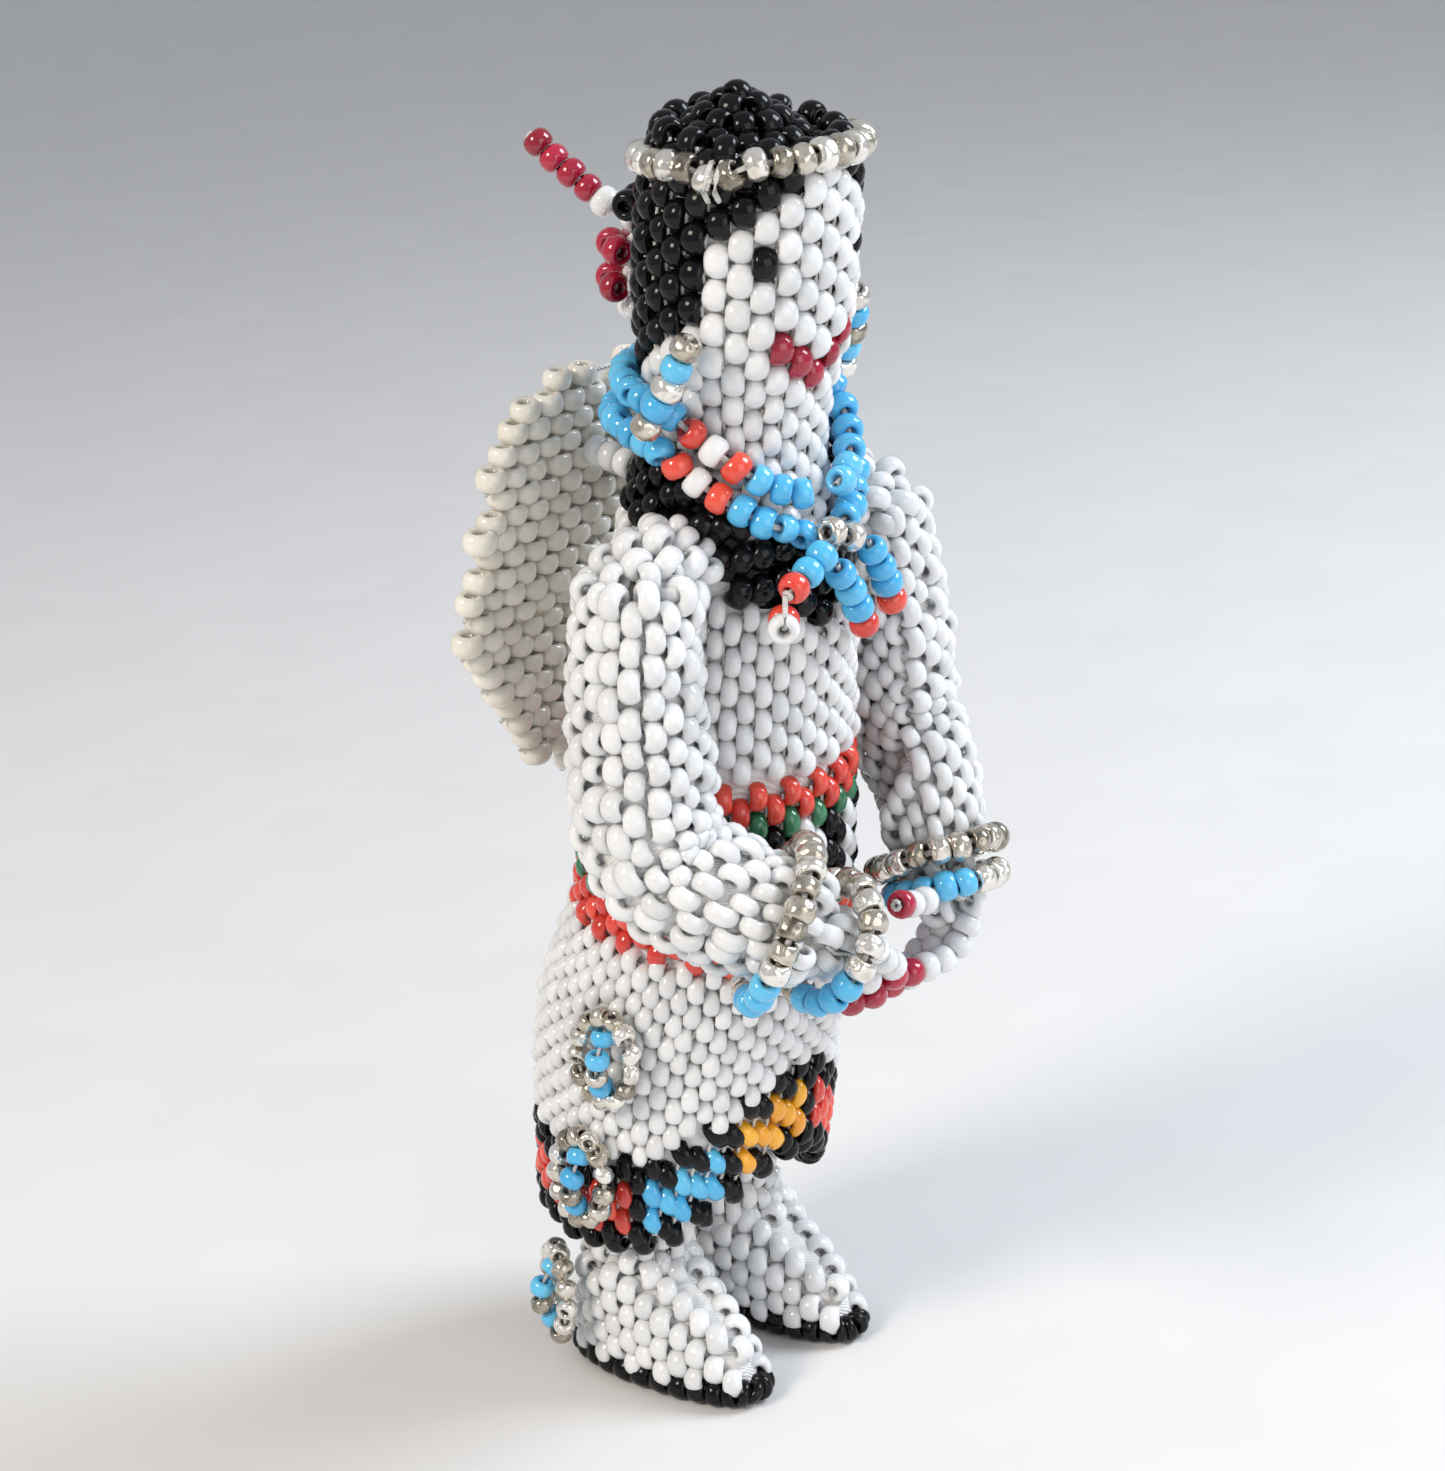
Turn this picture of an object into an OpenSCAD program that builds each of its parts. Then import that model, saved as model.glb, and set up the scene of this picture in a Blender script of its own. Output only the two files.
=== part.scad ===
// Standing bead-stitched figure: rows of glass seed beads over a stuffed core.
// Body pieces are drawn upright in a body frame, then leaned forward as one.

/* [Stance] */
// Forward lean of the body over the feet, degrees
lean = 11.3; // [8:0.1:13]
// Height in the body frame of the ground point under the body axis
ground = 8.8; // [8:0.1:10]
// Sideways place of the body axis, which centres the whole figure
stand_x = 0.62; // [0.5:0.01:0.75]
// Place of the ankles behind the middle of the whole figure
stand_y = 9.1; // [8.9:0.05:9.3]

/* [Beads] */
// Outside radius of one seed bead
bead_r = 1.0; // [0.9:0.01:1.0]
// Length of one seed bead along its hole
bead_l = 1.35; // [1.1:0.01:1.36]
// Radius of the hole in a seed bead
bead_hole = 0.42; // [0.35:0.01:0.5]
// Radius of the sewing thread
thread_r = 0.2; // [0.12:0.01:0.25]
// Thickness of one layer of stitched beads
skin = 2.0; // [1.8:0.05:2.1]

/* [Head] */
// How far the head sits back from the body axis
head_back = 0.5; // [0:0.1:0.7]
// Half angle of the white face on the head, degrees
face_half = 68; // [60:1:74]
// Radius of the head ring of silver beads
ring_r = 6.5; // [6.4:0.05:6.7]
// Number of beads in the head ring
ring_n = 28; // [24:1:28]

/* [Dress] */
// Height of the belt's lower edge, body frame
belt_z0 = 44; // [43.5:0.1:45]
// Height of the belt's upper edge, body frame
belt_z1 = 55; // [54:0.1:56]
// How far the skirt sits back from the body axis
skirt_back = 1.2; // [1.0:0.1:1.4]
// Height of the hem's lower edge at the back, body frame
hem_z = 19.5; // [19:0.1:20]
// Height of the patterned hem border
hem_h = 6; // [5:0.1:7]
// Steepness of the hem where it rises at the front, degrees
hem_rise = 38; // [30:1:40]

/* [Cape] */
// Distance of the cape's middle surface behind the body axis
cape_y = 12; // [11.8:0.1:12.5]
// Thickness of the cape
cape_t = 1.6; // [1.2:0.1:1.6]

/* [Hidden] */
big = 200;
white = [0.93, 0.92, 0.88];
black = [0.06, 0.06, 0.07];
blue = [0.2, 0.62, 0.87];
red = [0.85, 0.2, 0.17];
dark_red = [0.55, 0.06, 0.12];
silver = [0.72, 0.69, 0.62];
cotton = [0.86, 0.84, 0.8];

// Outer outlines as [radius, height], from the bottom up
trunk = [[8.95, belt_z1], [8.6, 58], [8.3, 62], [7.9, 66], [7.3, 69], [6.6, 72], [5.9, 75],
  [5.6, 77.5], [5.75, 79.4]];
head = [[5.8, 79.5], [5.95, 80.8], [6.5, 82.5], [6.9, 84.5], [7.05, 87], [7.0, 90], [6.6, 93.6]];
crown = [[6.6, 93.6], [5.6, 95.2], [4.4, 96.6], [2.6, 98.2], [1.2, 98.9]];
belt = [[9.5, belt_z0], [9.3, 50], [8.95, belt_z1]];
skirt = [[9.8, 17], [10.2, 26], [10.5, 30], [10.5, 35], [10.2, 40], [9.5, belt_z0]];
core_up = [[7.5, belt_z0], [7.3, 50], [6.95, belt_z1], [6.6, 58], [6.3, 62], [5.9, 66],
  [5.3, 69], [4.6, 72], [3.9, 75], [3.6, 77.5], [3.75, 79.4]];
core_hip = [[8.5, 30], [8.5, 35], [8.2, 40], [7.5, belt_z0]];
core_head = [[3.8, 79.5], [3.95, 80.8], [4.5, 82.5], [4.9, 84.5], [5.05, 87], [5.0, 90], [4.6, 93.6], [3.6, 95.2],
  [2.4, 96.2], [0.8, 96.9]];

// Arms: centre points and outer radii from shoulder to wrist
arm_p_right = [[-11.4, -2, 69.5], [-12.9, -5.6, 53], [-7.9, -14.2, 50.6]];
arm_q_right = [3.8, 4.1, 3.5];
arm_p_left = [[11.2, -2, 69], [11.7, -5, 56.8], [11.5, -7.7, 52.6], [10.3, -9.7, 49.5]];
arm_q_left = [3.8, 4.05, 3.85, 3.3];

// Cape outline, right half, as [across, height]
cape_half = [[0, 75.4], [1.5, 77.2], [3, 78.8], [5, 78.4], [8, 76.5], [9.7, 75], [10.8, 72.8],
  [11.6, 70.2], [12.3, 67.8], [12.8, 64.9], [12.9, 61.7], [11.4, 58.2], [9.7, 56], [7.2, 53.4],
  [3.1, 51.4], [0, 51]];

function rev(v) = [for (i = [len(v) - 1:-1:0]) v[i]];
function inset(v, t) = [for (p = v) [p[0] - t, p[1]]];
function unit(v) = v / norm(v);
function lerp(a, b, t) = a + (b - a) * t;
function bez(a, b, c, t) = lerp(lerp(a, b, t), lerp(b, c, t), t);
function front(p) = pow(max(0, cos(p)), 1.3);
function neck_pt(r, z, p) = [r * sin(p), 0.6 - (r + 0.7 * front(p)) * cos(p), z - 5 * front(p)];
function oval_pt(t) = [2.0 * sin(t), 0, -3.1 + 3.1 * cos(t)];
function strand_pt(t) = [0.2 * sin(180 * t), -1.25 * sin(180 * t) - 0.1, -0.9 - 4.4 * t];

module standing() {
  translate([stand_x, stand_y, 0]) children();
}

module leaned() {
  rotate([lean, 0, 0]) translate([0, 0, -ground]) children();
}

module body_frame() {
  standing() leaned() children();
}

module above(z, tilt) {
  translate([0, 0, z]) rotate([tilt, 0, 0]) translate([-big / 2, -big / 2, 0]) cube(big);
}

module shell(v, t) {
  rotate_extrude($fn = 72) polygon(concat(v, rev(inset(v, t))));
}

module solid_of(v) {
  rotate_extrude($fn = 72) polygon(concat([[0, v[0][1]]], v, [[0, v[len(v) - 1][1]]]));
}

// Turns the Z axis onto direction d
module along(d) {
  rotate([0, acos(d[2] / norm(d)), atan2(d[1], d[0])]) children();
}

module bead(r = bead_r, l = bead_l, h = bead_hole) {
  c = min(0.35, (r - h) * 0.6);
  rotate_extrude($fn = 32) polygon([[h, -l / 2], [r - c, -l / 2], [r, -l / 5], [r, l / 5],
    [r - c, l / 2], [h, l / 2]]);
}

module rod(a, b, r = thread_r) {
  translate(a) along(b - a) cylinder(h = norm(b - a), r = r, $fn = 16);
}

// Beads on a straight thread from a toward b; c lists their colours
module straight(a, b, c, r = bead_r, tail = 0.9) {
  d = unit(b - a);
  s = norm(b - a) / (len(c) - 1);
  for (i = [0:len(c) - 1]) color(c[i]) translate(a + d * s * i) along(d) bead(r);
  color(cotton) rod(a - d * tail, b + d * 0.75);
}

// Beads along a curved finger with a dark tip
module finger(a, b, c, n) {
  for (i = [0:n - 1]) {
    t = i / (n - 1);
    color(i == n - 1 ? dark_red : white) translate(bez(a, b, c, t))
      along(bez(a, b, c, t + 0.01) - bez(a, b, c, t - 0.01)) bead(0.92, 1.2);
  }
}

// Solid run of cones between points, with a ball at each point
module limb(p, q, t) {
  for (i = [0:len(p) - 1]) translate(p[i]) sphere(r = q[i] - t + 0.12, $fn = 48);
  for (i = [0:len(p) - 2]) translate(p[i]) along(p[i + 1] - p[i])
    cylinder(h = norm(p[i + 1] - p[i]), r1 = q[i] - t, r2 = q[i + 1] - t, $fn = 48);
}

// Closed thread swept through a ring of points
module loop_thread(pts, r = thread_r, ref = [0, 0, 1]) {
  n = len(pts);
  m = 6;
  v = [for (i = [0:n - 1]) let (d = unit(pts[(i + 1) % n] - pts[(i + n - 1) % n]),
    u = unit(cross(d, ref)), w = cross(d, u))
    for (k = [0:m - 1]) pts[i] + r * (cos(k * 360 / m) * u + sin(k * 360 / m) * w)];
  f = [for (i = [0:n - 1]) for (k = [0:m - 1]) let (a = i * m + k, b = i * m + (k + 1) % m,
    c = ((i + 1) % n) * m + (k + 1) % m, e = ((i + 1) % n) * m + k) for (tri = [[a, b, c],
    [a, c, e]]) [tri[2], tri[1], tri[0]]];
  polyhedron(points = v, faces = f, convexity = 6);
}

// ---------- core ----------
module torso_core() {
  color(cotton) body_frame() union() {
    solid_of(core_up);
    translate([0, skirt_back, 0]) solid_of(core_hip);
  }
}

module head_core() {
  color(cotton) body_frame() translate([0, head_back, 0]) solid_of(core_head);
}

// ---------- head ----------
module face_cut() {
  intersection() {
    rotate([90, 0, 0]) linear_extrude(height = 12)
      polygon([[-9, 79], [9, 79], [9, 86], [0, 92.4], [-9, 86]]);
    linear_extrude(height = 100)
      polygon([[0, 0], [20 * sin(face_half), -20 * cos(face_half)], [0, -40],
        [-20 * sin(face_half), -20 * cos(face_half)]]);
  }
}

module face_beadwork() {
  color(white) body_frame() translate([0, head_back, 0]) intersection() {
    shell(head, skin);
    face_cut();
  }
}

module hair_beadwork() {
  color(black) body_frame() translate([0, head_back, 0]) difference() {
    shell(head, skin);
    face_cut();
  }
}

module crown_beadwork() {
  color(black) body_frame() translate([0, head_back, 0]) difference() {
    solid_of(crown);
    solid_of(core_head);
  }
}

module head_ring_beads() {
  color(silver) body_frame() translate([0, head_back, 96.35])
    for (i = [0:ring_n - 1]) rotate([0, 0, i * 360 / ring_n]) translate([ring_r, 0, 0])
      rotate([90, 0, 0]) bead(0.95, 1.3);
}

module head_ring_thread() {
  color(cotton) body_frame() translate([0, head_back, 96.35])
    rotate_extrude($fn = 72) translate([ring_r, 0]) circle(r = thread_r, $fn = 16);
}

module hair_knot() {
  color(white) body_frame() translate([0, 8.85, 82.6]) cylinder(h = 7.6, r = 1, $fn = 32);
}

module hair_tie_beads() {
  color(dark_red) body_frame() for (z = [84.6, 86.8]) for (i = [-1.5:1.5])
    translate([0, 8.85, z]) rotate([0, 0, i * 52]) translate([0, 2.15, 0])
      rotate([0, 90, 0]) bead(0.95, 1.0);
}

module hair_strand() {
  body_frame() straight([-0.5, 12, 89.1], [-2.1, 16.4, 92.1],
    [white, dark_red, dark_red, dark_red, dark_red], 0.95);
}

// ---------- neck and dress ----------
module neck_beadwork() {
  color(white) body_frame() intersection() {
    shell(trunk, skin);
    above(75.4, 19);
  }
}

module collar_beadwork() {
  color(black) body_frame() difference() {
    intersection() {
      shell(trunk, skin);
      above(71.6, 19);
    }
    above(75.4, 19);
  }
}

module bodice_beadwork() {
  color(white) body_frame() difference() {
    shell(trunk, skin);
    above(71.6, 19);
  }
}

module belt_beadwork() {
  color(red) body_frame() shell(belt, skin);
}

module hem_side(z) {
  intersection() {
    above(z, 0);
    above(z - 0.6, -hem_rise);
  }
}

module skirt_beadwork() {
  color(white) body_frame() translate([0, skirt_back, 0]) intersection() {
    shell(skirt, skin);
    hem_side(hem_z + hem_h);
  }
}

module hem_border() {
  color("orange") body_frame() translate([0, skirt_back, 0]) difference() {
    intersection() {
      shell(skirt, skin);
      hem_side(hem_z);
    }
    hem_side(hem_z + hem_h);
  }
}

// ---------- necklace ----------
module necklace(r, z, n) {
  for (i = [0:n - 1]) {
    p = 15 + 330 * i / (n - 1);
    c = (i > n * 0.81 && i < n * 0.85) || (i > n * 0.89 && i < n * 0.93) ? red
      : i > n * 0.84 && i < n * 0.9 ? white : blue;
    color(c) translate(neck_pt(r, z, p)) along(neck_pt(r, z, p + 1) - neck_pt(r, z, p - 1))
      bead(0.98, 1.22);
  }
}

module necklace_upper() {
  body_frame() necklace(6.95, 80.4, 28);
}

module necklace_lower() {
  body_frame() necklace(7.4, 78.0, 30);
}

module necklace_threads() {
  color(cotton) body_frame() {
    loop_thread([for (i = [0:71]) neck_pt(6.95, 80.4, i * 5)]);
    loop_thread([for (i = [0:71]) neck_pt(7.4, 78.0, i * 5)]);
  }
}

module necklace_knot() {
  color(silver) body_frame() for (s = [-1, 1])
    translate([s * 0.95, -8.6, 73.1 - s * 0.4]) rotate([90, 0, 0]) bead(0.85, 1.2);
}

module tassel_right() {
  body_frame() straight([-2.6, -9.3, 72.6], [-5.3, -9.6, 71.4], [blue, blue, red]);
}

module tassel_middle() {
  body_frame() straight([-0.7, -9.4, 70.9], [1.4, -9.75, 67.1], [blue, blue, blue, red]);
}

module tassel_left() {
  body_frame() straight([2.5, -9.1, 71.5], [4.5, -9.4, 67.7], [blue, blue, blue, red]);
}

module pendant() {
  body_frame() {
    color(white) translate([-6.4, -9.9, 69.1]) rotate([90, 0, -49]) bead(1.05, 1.2);
    color(red) translate([-5.43, -9.05, 69.1]) rotate([90, 0, -49]) bead(0.9, 1.2);
    color(cotton) rod([-6.25, -9.75, 70.4], [-6.3, -9.7, 71.0], 0.16);
  }
}

module earring(s) {
  body_frame() straight([s * 7.75, -2.0, 84.9], [s * 9.0, -0.3, 79.8],
    [silver, blue, silver, blue, silver], 0.95);
}

module earring_right() {
  earring(-1);
}

module earring_left() {
  earring(1);
}

// ---------- arms ----------
module trunk_room(s) {
  for (b = [[8.75, 54], [9.45, 44]]) translate([s > 0 ? 0 : -b[0], -8, b[1]])
    cube([b[0], 18, 40]);
}

module arm_core(p, q) {
  body_frame() limb(p, q, skin);
}

module arm_beads(p, q, s) {
  body_frame() difference() {
    limb(p, q, 0);
    limb(p, q, skin);
    trunk_room(s);
  }
}

module arm_core_right() {
  color(cotton) arm_core(arm_p_right, arm_q_right);
}

module arm_core_left() {
  color(cotton) arm_core(arm_p_left, arm_q_left);
}

module arm_beadwork_right() {
  color(white) arm_beads(arm_p_right, arm_q_right, -1);
}

module arm_beadwork_left() {
  color(white) arm_beads(arm_p_left, arm_q_left, 1);
}

module palm(w, c, p, q) {
  body_frame() difference() {
    union() {
      translate(w) along(c - w) cylinder(h = norm(c - w), r = 2.38, $fn = 48);
      translate(c) sphere(r = 2.5, $fn = 48);
    }
    limb(p, q, 0);
  }
}

module palm_right() {
  color(white) palm([-7.9, -14.2, 50.6], [-4.7, -15.6, 48.7], arm_p_right, arm_q_right);
}

module palm_left() {
  color(white) palm([10.3, -9.7, 49.5], [9.5, -12.6, 45.6], arm_p_left, arm_q_left);
}

module fingers_right() {
  body_frame() for (b = [[-1.9, -17.4, 48.3], [-2.3, -16.2, 46.5], [-3.4, -15.1, 44.9],
    [-5.2, -14.4, 44.3]]) finger(b, b + [1.5, 0.1, -1.5], b + [2.9, 0.8, -3.1], 4);
}

module fingers_left() {
  body_frame() {
    finger([8.8, -14.6, 42.9], [7.0, -14.4, 42.1], [3.8, -13.9, 42.5], 4);
    finger([8.6, -12.7, 41.9], [6.6, -12.8, 40.6], [3.6, -12.7, 40.7], 4);
    finger([8.8, -10.7, 42.1], [6.6, -10.9, 39.6], [3.6, -11.3, 39.2], 4);
  }
}

module thumb_left() {
  body_frame() straight([4.9, -14.4, 47.2], [2.2, -13.7, 48], [white, white, red], 0.95, 0.7);
}

// One ring of beads and its thread round point p, facing direction d, at a slant
module bracelet(p, d, r, n, blues, slant, turn) {
  body_frame() translate(p) along(d) rotate([0, 0, turn]) rotate([0, slant, 0]) {
    for (i = [0:n - 1]) color(i < blues ? blue : silver) rotate([0, 0, (i + 0.5) * 360 / n])
      translate([r, 0, 0]) rotate([90, 0, 0]) bead(0.9, 1.1);
    color(cotton) rotate_extrude($fn = 72) translate([r, 0]) circle(r = thread_r, $fn = 16);
  }
}

module bracelet_inner_right() {
  bracelet([-5.957, -15.032, 49.468], [3.2, -1.4, -1.9], 3.85, 17, 4, 0, 0);
}

module bracelet_outer_right() {
  bracelet([-8.617, -12.968, 50.94], [5, -8.6, -2.4], 5.1, 23, 5, 12, 60);
}

module bracelet_inner_left() {
  bracelet([10.0, -10.74, 48.08], [-0.8, -2.9, -3.9], 4.02, 18, 0, 0, 0);
}

module bracelet_outer_left() {
  bracelet([9.67, -11.96, 46.42], [-0.8, -2.9, -3.9], 3.55, 16, 7, 6, 0);
}

// ---------- legs and feet ----------
module leg_shape(s, t) {
  limb([[s * 4.9, -0.9, 6.5], [s * 4.0, -1.3, 11.2], [s * 3.95, -3.4, 24]], [4.3, 3.75, 3.6], t);
}

module foot_shape(s, t) {
  hull() {
    translate([s * 4.9, -0.9, 8.2]) cylinder(h = 0.3, r = 4.45 - t, $fn = 32);
    translate([s * 5.3, 1.3, 4]) sphere(r = 4.0 - t, $fn = 32);
    translate([s * 5.1, -5.6, 3.2]) sphere(r = 3.6 - t * 0.95, $fn = 32);
    translate([s * 4.9, -9.8, 2.6]) sphere(r = 2.6 - t * 0.8, $fn = 32);
  }
}

module legging(s) {
  difference() {
    leg_shape(s, 0);
    leg_shape(s, skin);
    translate([-big / 2, -big / 2, 8.5 - big]) cube(big);
    leaned() above(27, 0);
  }
}

module boot(s) {
  difference() {
    foot_shape(s, 0);
    foot_shape(s, skin);
    translate([-big / 2, -big / 2, 2.0 - big]) cube(big);
  }
}

// Foot outline: round heel, wide ball, narrow toe
function half_w(u) = 3.9 * pow(max(0, 1 - pow(abs(u), 3.2)), 0.42) * (1 - 0.14 * u);
function sole_side(m) = [for (i = [0:m]) let (u = -cos(180 * i / m)) [half_w(u), -3.6 - 8.9 * u]];

module sole(s) {
  translate([s * 5.1, 0, 0]) linear_extrude(height = 2.0)
    polygon(concat(sole_side(14), [for (p = rev(sole_side(14))) if (p[0] > 0.01)
      [-p[0], p[1]]]));
}

module leg_core(s) {
  difference() {
    union() {
      difference() {
        foot_shape(s, skin);
        translate([-big / 2, -big / 2, 8.5]) cube(big);
      }
      intersection() {
        leg_shape(s, skin);
        translate([-big / 2, -big / 2, 8.5]) cube(big);
      }
    }
    translate([-big / 2, -big / 2, 2.0 - big]) cube(big);
    leaned() above(30, 0);
  }
}

module legging_right() {
  color(white) standing() legging(-1);
}

module legging_left() {
  color(white) standing() legging(1);
}

module boot_right() {
  color(white) standing() boot(-1);
}

module boot_left() {
  color(white) standing() boot(1);
}

module sole_right() {
  color(black) standing() sole(-1);
}

module sole_left() {
  color(black) standing() sole(1);
}

module leg_core_right() {
  color(cotton) standing() leg_core(-1);
}

module leg_core_left() {
  color(cotton) standing() leg_core(1);
}

// ---------- conchos: oval bead rings with an arched strand ----------
module concho_ring() {
  for (i = [0:12]) {
    t = (i + 0.5) * 360 / 13;
    color(silver) translate(oval_pt(t)) along(oval_pt(t + 3) - oval_pt(t - 3))
      bead(0.6, 0.82, 0.25);
  }
  color(cotton) loop_thread([for (i = [0:35]) oval_pt(i * 10)], 0.1, [0, 1, 0]);
}

module concho_strand() {
  for (i = [0:3]) {
    t = 0.08 + 0.28 * i;
    color(i == 2 ? silver : blue) translate(strand_pt(t))
      along(strand_pt(t + 0.02) - strand_pt(t - 0.02)) bead(0.7, 1.05, 0.25);
  }
}

// Stands a concho on a round side at angle a (0 front, -90 right), facing out
module on_side(cy, r, a, z, tip) {
  body_frame() translate([r * sin(a), cy - r * cos(a), z]) rotate([0, 0, a])
    rotate([tip, 0, 0]) children();
}

module concho_waist_ring() {
  on_side(skirt_back, 11.35, -78, 39.7, 0) concho_ring();
}

module concho_waist_strand() {
  on_side(skirt_back, 11.35, -78, 39.7, 0) concho_strand();
}

module concho_hem_ring() {
  on_side(skirt_back, 11.35, -85, 29.8, -2) concho_ring();
}

module concho_hem_strand() {
  on_side(skirt_back, 11.35, -85, 29.8, -2) concho_strand();
}

module ankle_side() {
  standing() translate([-9.55, 2.1, 9.6]) rotate([0, 0, -118]) rotate([-6, 0, 0]) children();
}

module concho_ankle_ring() {
  ankle_side() concho_ring();
}

module concho_ankle_strand() {
  ankle_side() concho_strand();
}

// ---------- cape ----------
module cape_beadwork() {
  color(white) body_frame() intersection() {
    translate([0, cape_y - 60, 40]) rotate_extrude($fn = 180)
      translate([60 - cape_t / 2, 0]) square([cape_t, 60]);
    rotate([90, 0, 0]) translate([0, 0, -20]) linear_extrude(height = 20)
      polygon(concat(cape_half, [for (p = rev(cape_half)) if (p[0] > 0) [-p[0], p[1]]]));
  }
}

module cape_tabs() {
  body_frame() for (s = [-1, 1])
    straight([s * 2.1, 7.55, 73.4], [s * 2.1, 10.4, 73.4], [white, white, white], 0.95, 0.2);
}

torso_core();
head_core();
neck_beadwork();
face_beadwork();
hair_beadwork();
crown_beadwork();
head_ring_beads();
head_ring_thread();
hair_knot();
hair_tie_beads();
hair_strand();
collar_beadwork();
bodice_beadwork();
belt_beadwork();
skirt_beadwork();
hem_border();
necklace_upper();
necklace_lower();
necklace_threads();
necklace_knot();
tassel_right();
tassel_middle();
tassel_left();
pendant();
earring_right();
earring_left();
arm_core_right();
arm_core_left();
arm_beadwork_right();
arm_beadwork_left();
palm_right();
palm_left();
fingers_right();
fingers_left();
thumb_left();
bracelet_inner_right();
bracelet_inner_left();
bracelet_outer_right();
bracelet_outer_left();
legging_right();
legging_left();
boot_right();
boot_left();
sole_right();
sole_left();
leg_core_right();
leg_core_left();
concho_waist_ring();
concho_waist_strand();
concho_hem_ring();
concho_hem_strand();
concho_ankle_ring();
concho_ankle_strand();
cape_beadwork();
cape_tabs();
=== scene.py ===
import math
import bpy
import numpy as np
from mathutils import Matrix, Vector


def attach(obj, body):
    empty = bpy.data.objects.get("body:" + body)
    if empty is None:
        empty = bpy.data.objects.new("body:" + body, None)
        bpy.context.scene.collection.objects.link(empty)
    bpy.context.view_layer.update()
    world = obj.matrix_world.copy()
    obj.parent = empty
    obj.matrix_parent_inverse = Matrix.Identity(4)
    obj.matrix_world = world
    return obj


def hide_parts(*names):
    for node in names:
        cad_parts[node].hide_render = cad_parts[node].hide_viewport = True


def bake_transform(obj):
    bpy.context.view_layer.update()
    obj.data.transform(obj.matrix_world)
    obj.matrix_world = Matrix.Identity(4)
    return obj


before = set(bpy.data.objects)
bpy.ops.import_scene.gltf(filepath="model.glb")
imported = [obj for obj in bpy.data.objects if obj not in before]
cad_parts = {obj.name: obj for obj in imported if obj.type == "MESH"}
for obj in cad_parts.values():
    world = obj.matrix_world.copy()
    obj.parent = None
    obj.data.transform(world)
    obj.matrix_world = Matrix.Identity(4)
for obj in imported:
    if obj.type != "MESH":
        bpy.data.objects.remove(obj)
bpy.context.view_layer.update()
rng = np.random.default_rng(7)

LEAN = math.radians(11.3)   # forward lean of the body
GROUND = 8.8                # body-frame height of the ground under the body axis
STAND = np.array([0.62, 9.1, 0.0])   # body axis in the row frame
CL, SL = math.cos(LEAN), math.sin(LEAN)
TAU = 2 * math.pi
MM = 0.001                  # the script draws in mm, the frame is in metres
BEAD = 1.36                 # length of a common bead along its thread, mm
FINGER_R = 0.97             # finger beads are slightly smaller, mm


def to_row(p):
    """Body frame in mm to the row frame in metres."""
    p = np.atleast_2d(np.asarray(p, float))
    y, z = p[:, 1], p[:, 2] - GROUND
    return (np.stack([p[:, 0], y * CL - z * SL, y * SL + z * CL], 1) + STAND) * MM


def foot_row(p):
    """Upright frame of the feet in mm to the row frame in metres."""
    return (np.asarray(p, float) + STAND) * MM


def to_row_dir(d):
    d = np.atleast_2d(np.asarray(d, float))
    return np.stack([d[:, 0], d[:, 1] * CL - d[:, 2] * SL, d[:, 1] * SL + d[:, 2] * CL], 1)


def unit(v):
    return v / np.maximum(np.linalg.norm(v, axis=-1, keepdims=True), 1e-9)


def smooth(t):
    t = np.clip(t, 0, 1)
    return t * t * (3 - 2 * t)


# ---------------------------------------------------------------- camera
def make_camera():
    dist, high = 175.0, 143.0                         # mm from the body axis, mm above its foot
    a, p, r = map(math.radians, (-49.0, 26.4, 3.5))   # azimuth, downward pitch, roll
    back = np.array([math.sin(a), -math.cos(a), 0.0])
    right = np.array([math.cos(a), math.sin(a), 0.0])
    pos = back * dist + np.array([0, 0, high])
    fwd = -back * math.cos(p) + np.array([0, 0, -math.sin(p)])
    up = np.cross(right, fwd)
    rt = right * math.cos(r) + up * math.sin(r)
    up = -right * math.sin(r) + up * math.cos(r)
    rt, up, fwd = (to_row_dir(v)[0] for v in (rt, up, fwd))
    pos = to_row(pos)[0]
    cam = bpy.data.objects.new("camera", bpy.data.cameras.new("camera"))
    bpy.context.scene.collection.objects.link(cam)
    m = Matrix.Identity(4)
    for i, v in enumerate((rt, up, -fwd, pos)):
        for j in range(3):
            m[j][i] = float(v[j])
    cam.matrix_world = m
    cam.data.lens = 73.4
    cam.data.sensor_width = 36
    cam.data.clip_start, cam.data.clip_end = 0.01, 20
    bpy.context.scene.camera = cam


make_camera()


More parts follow.
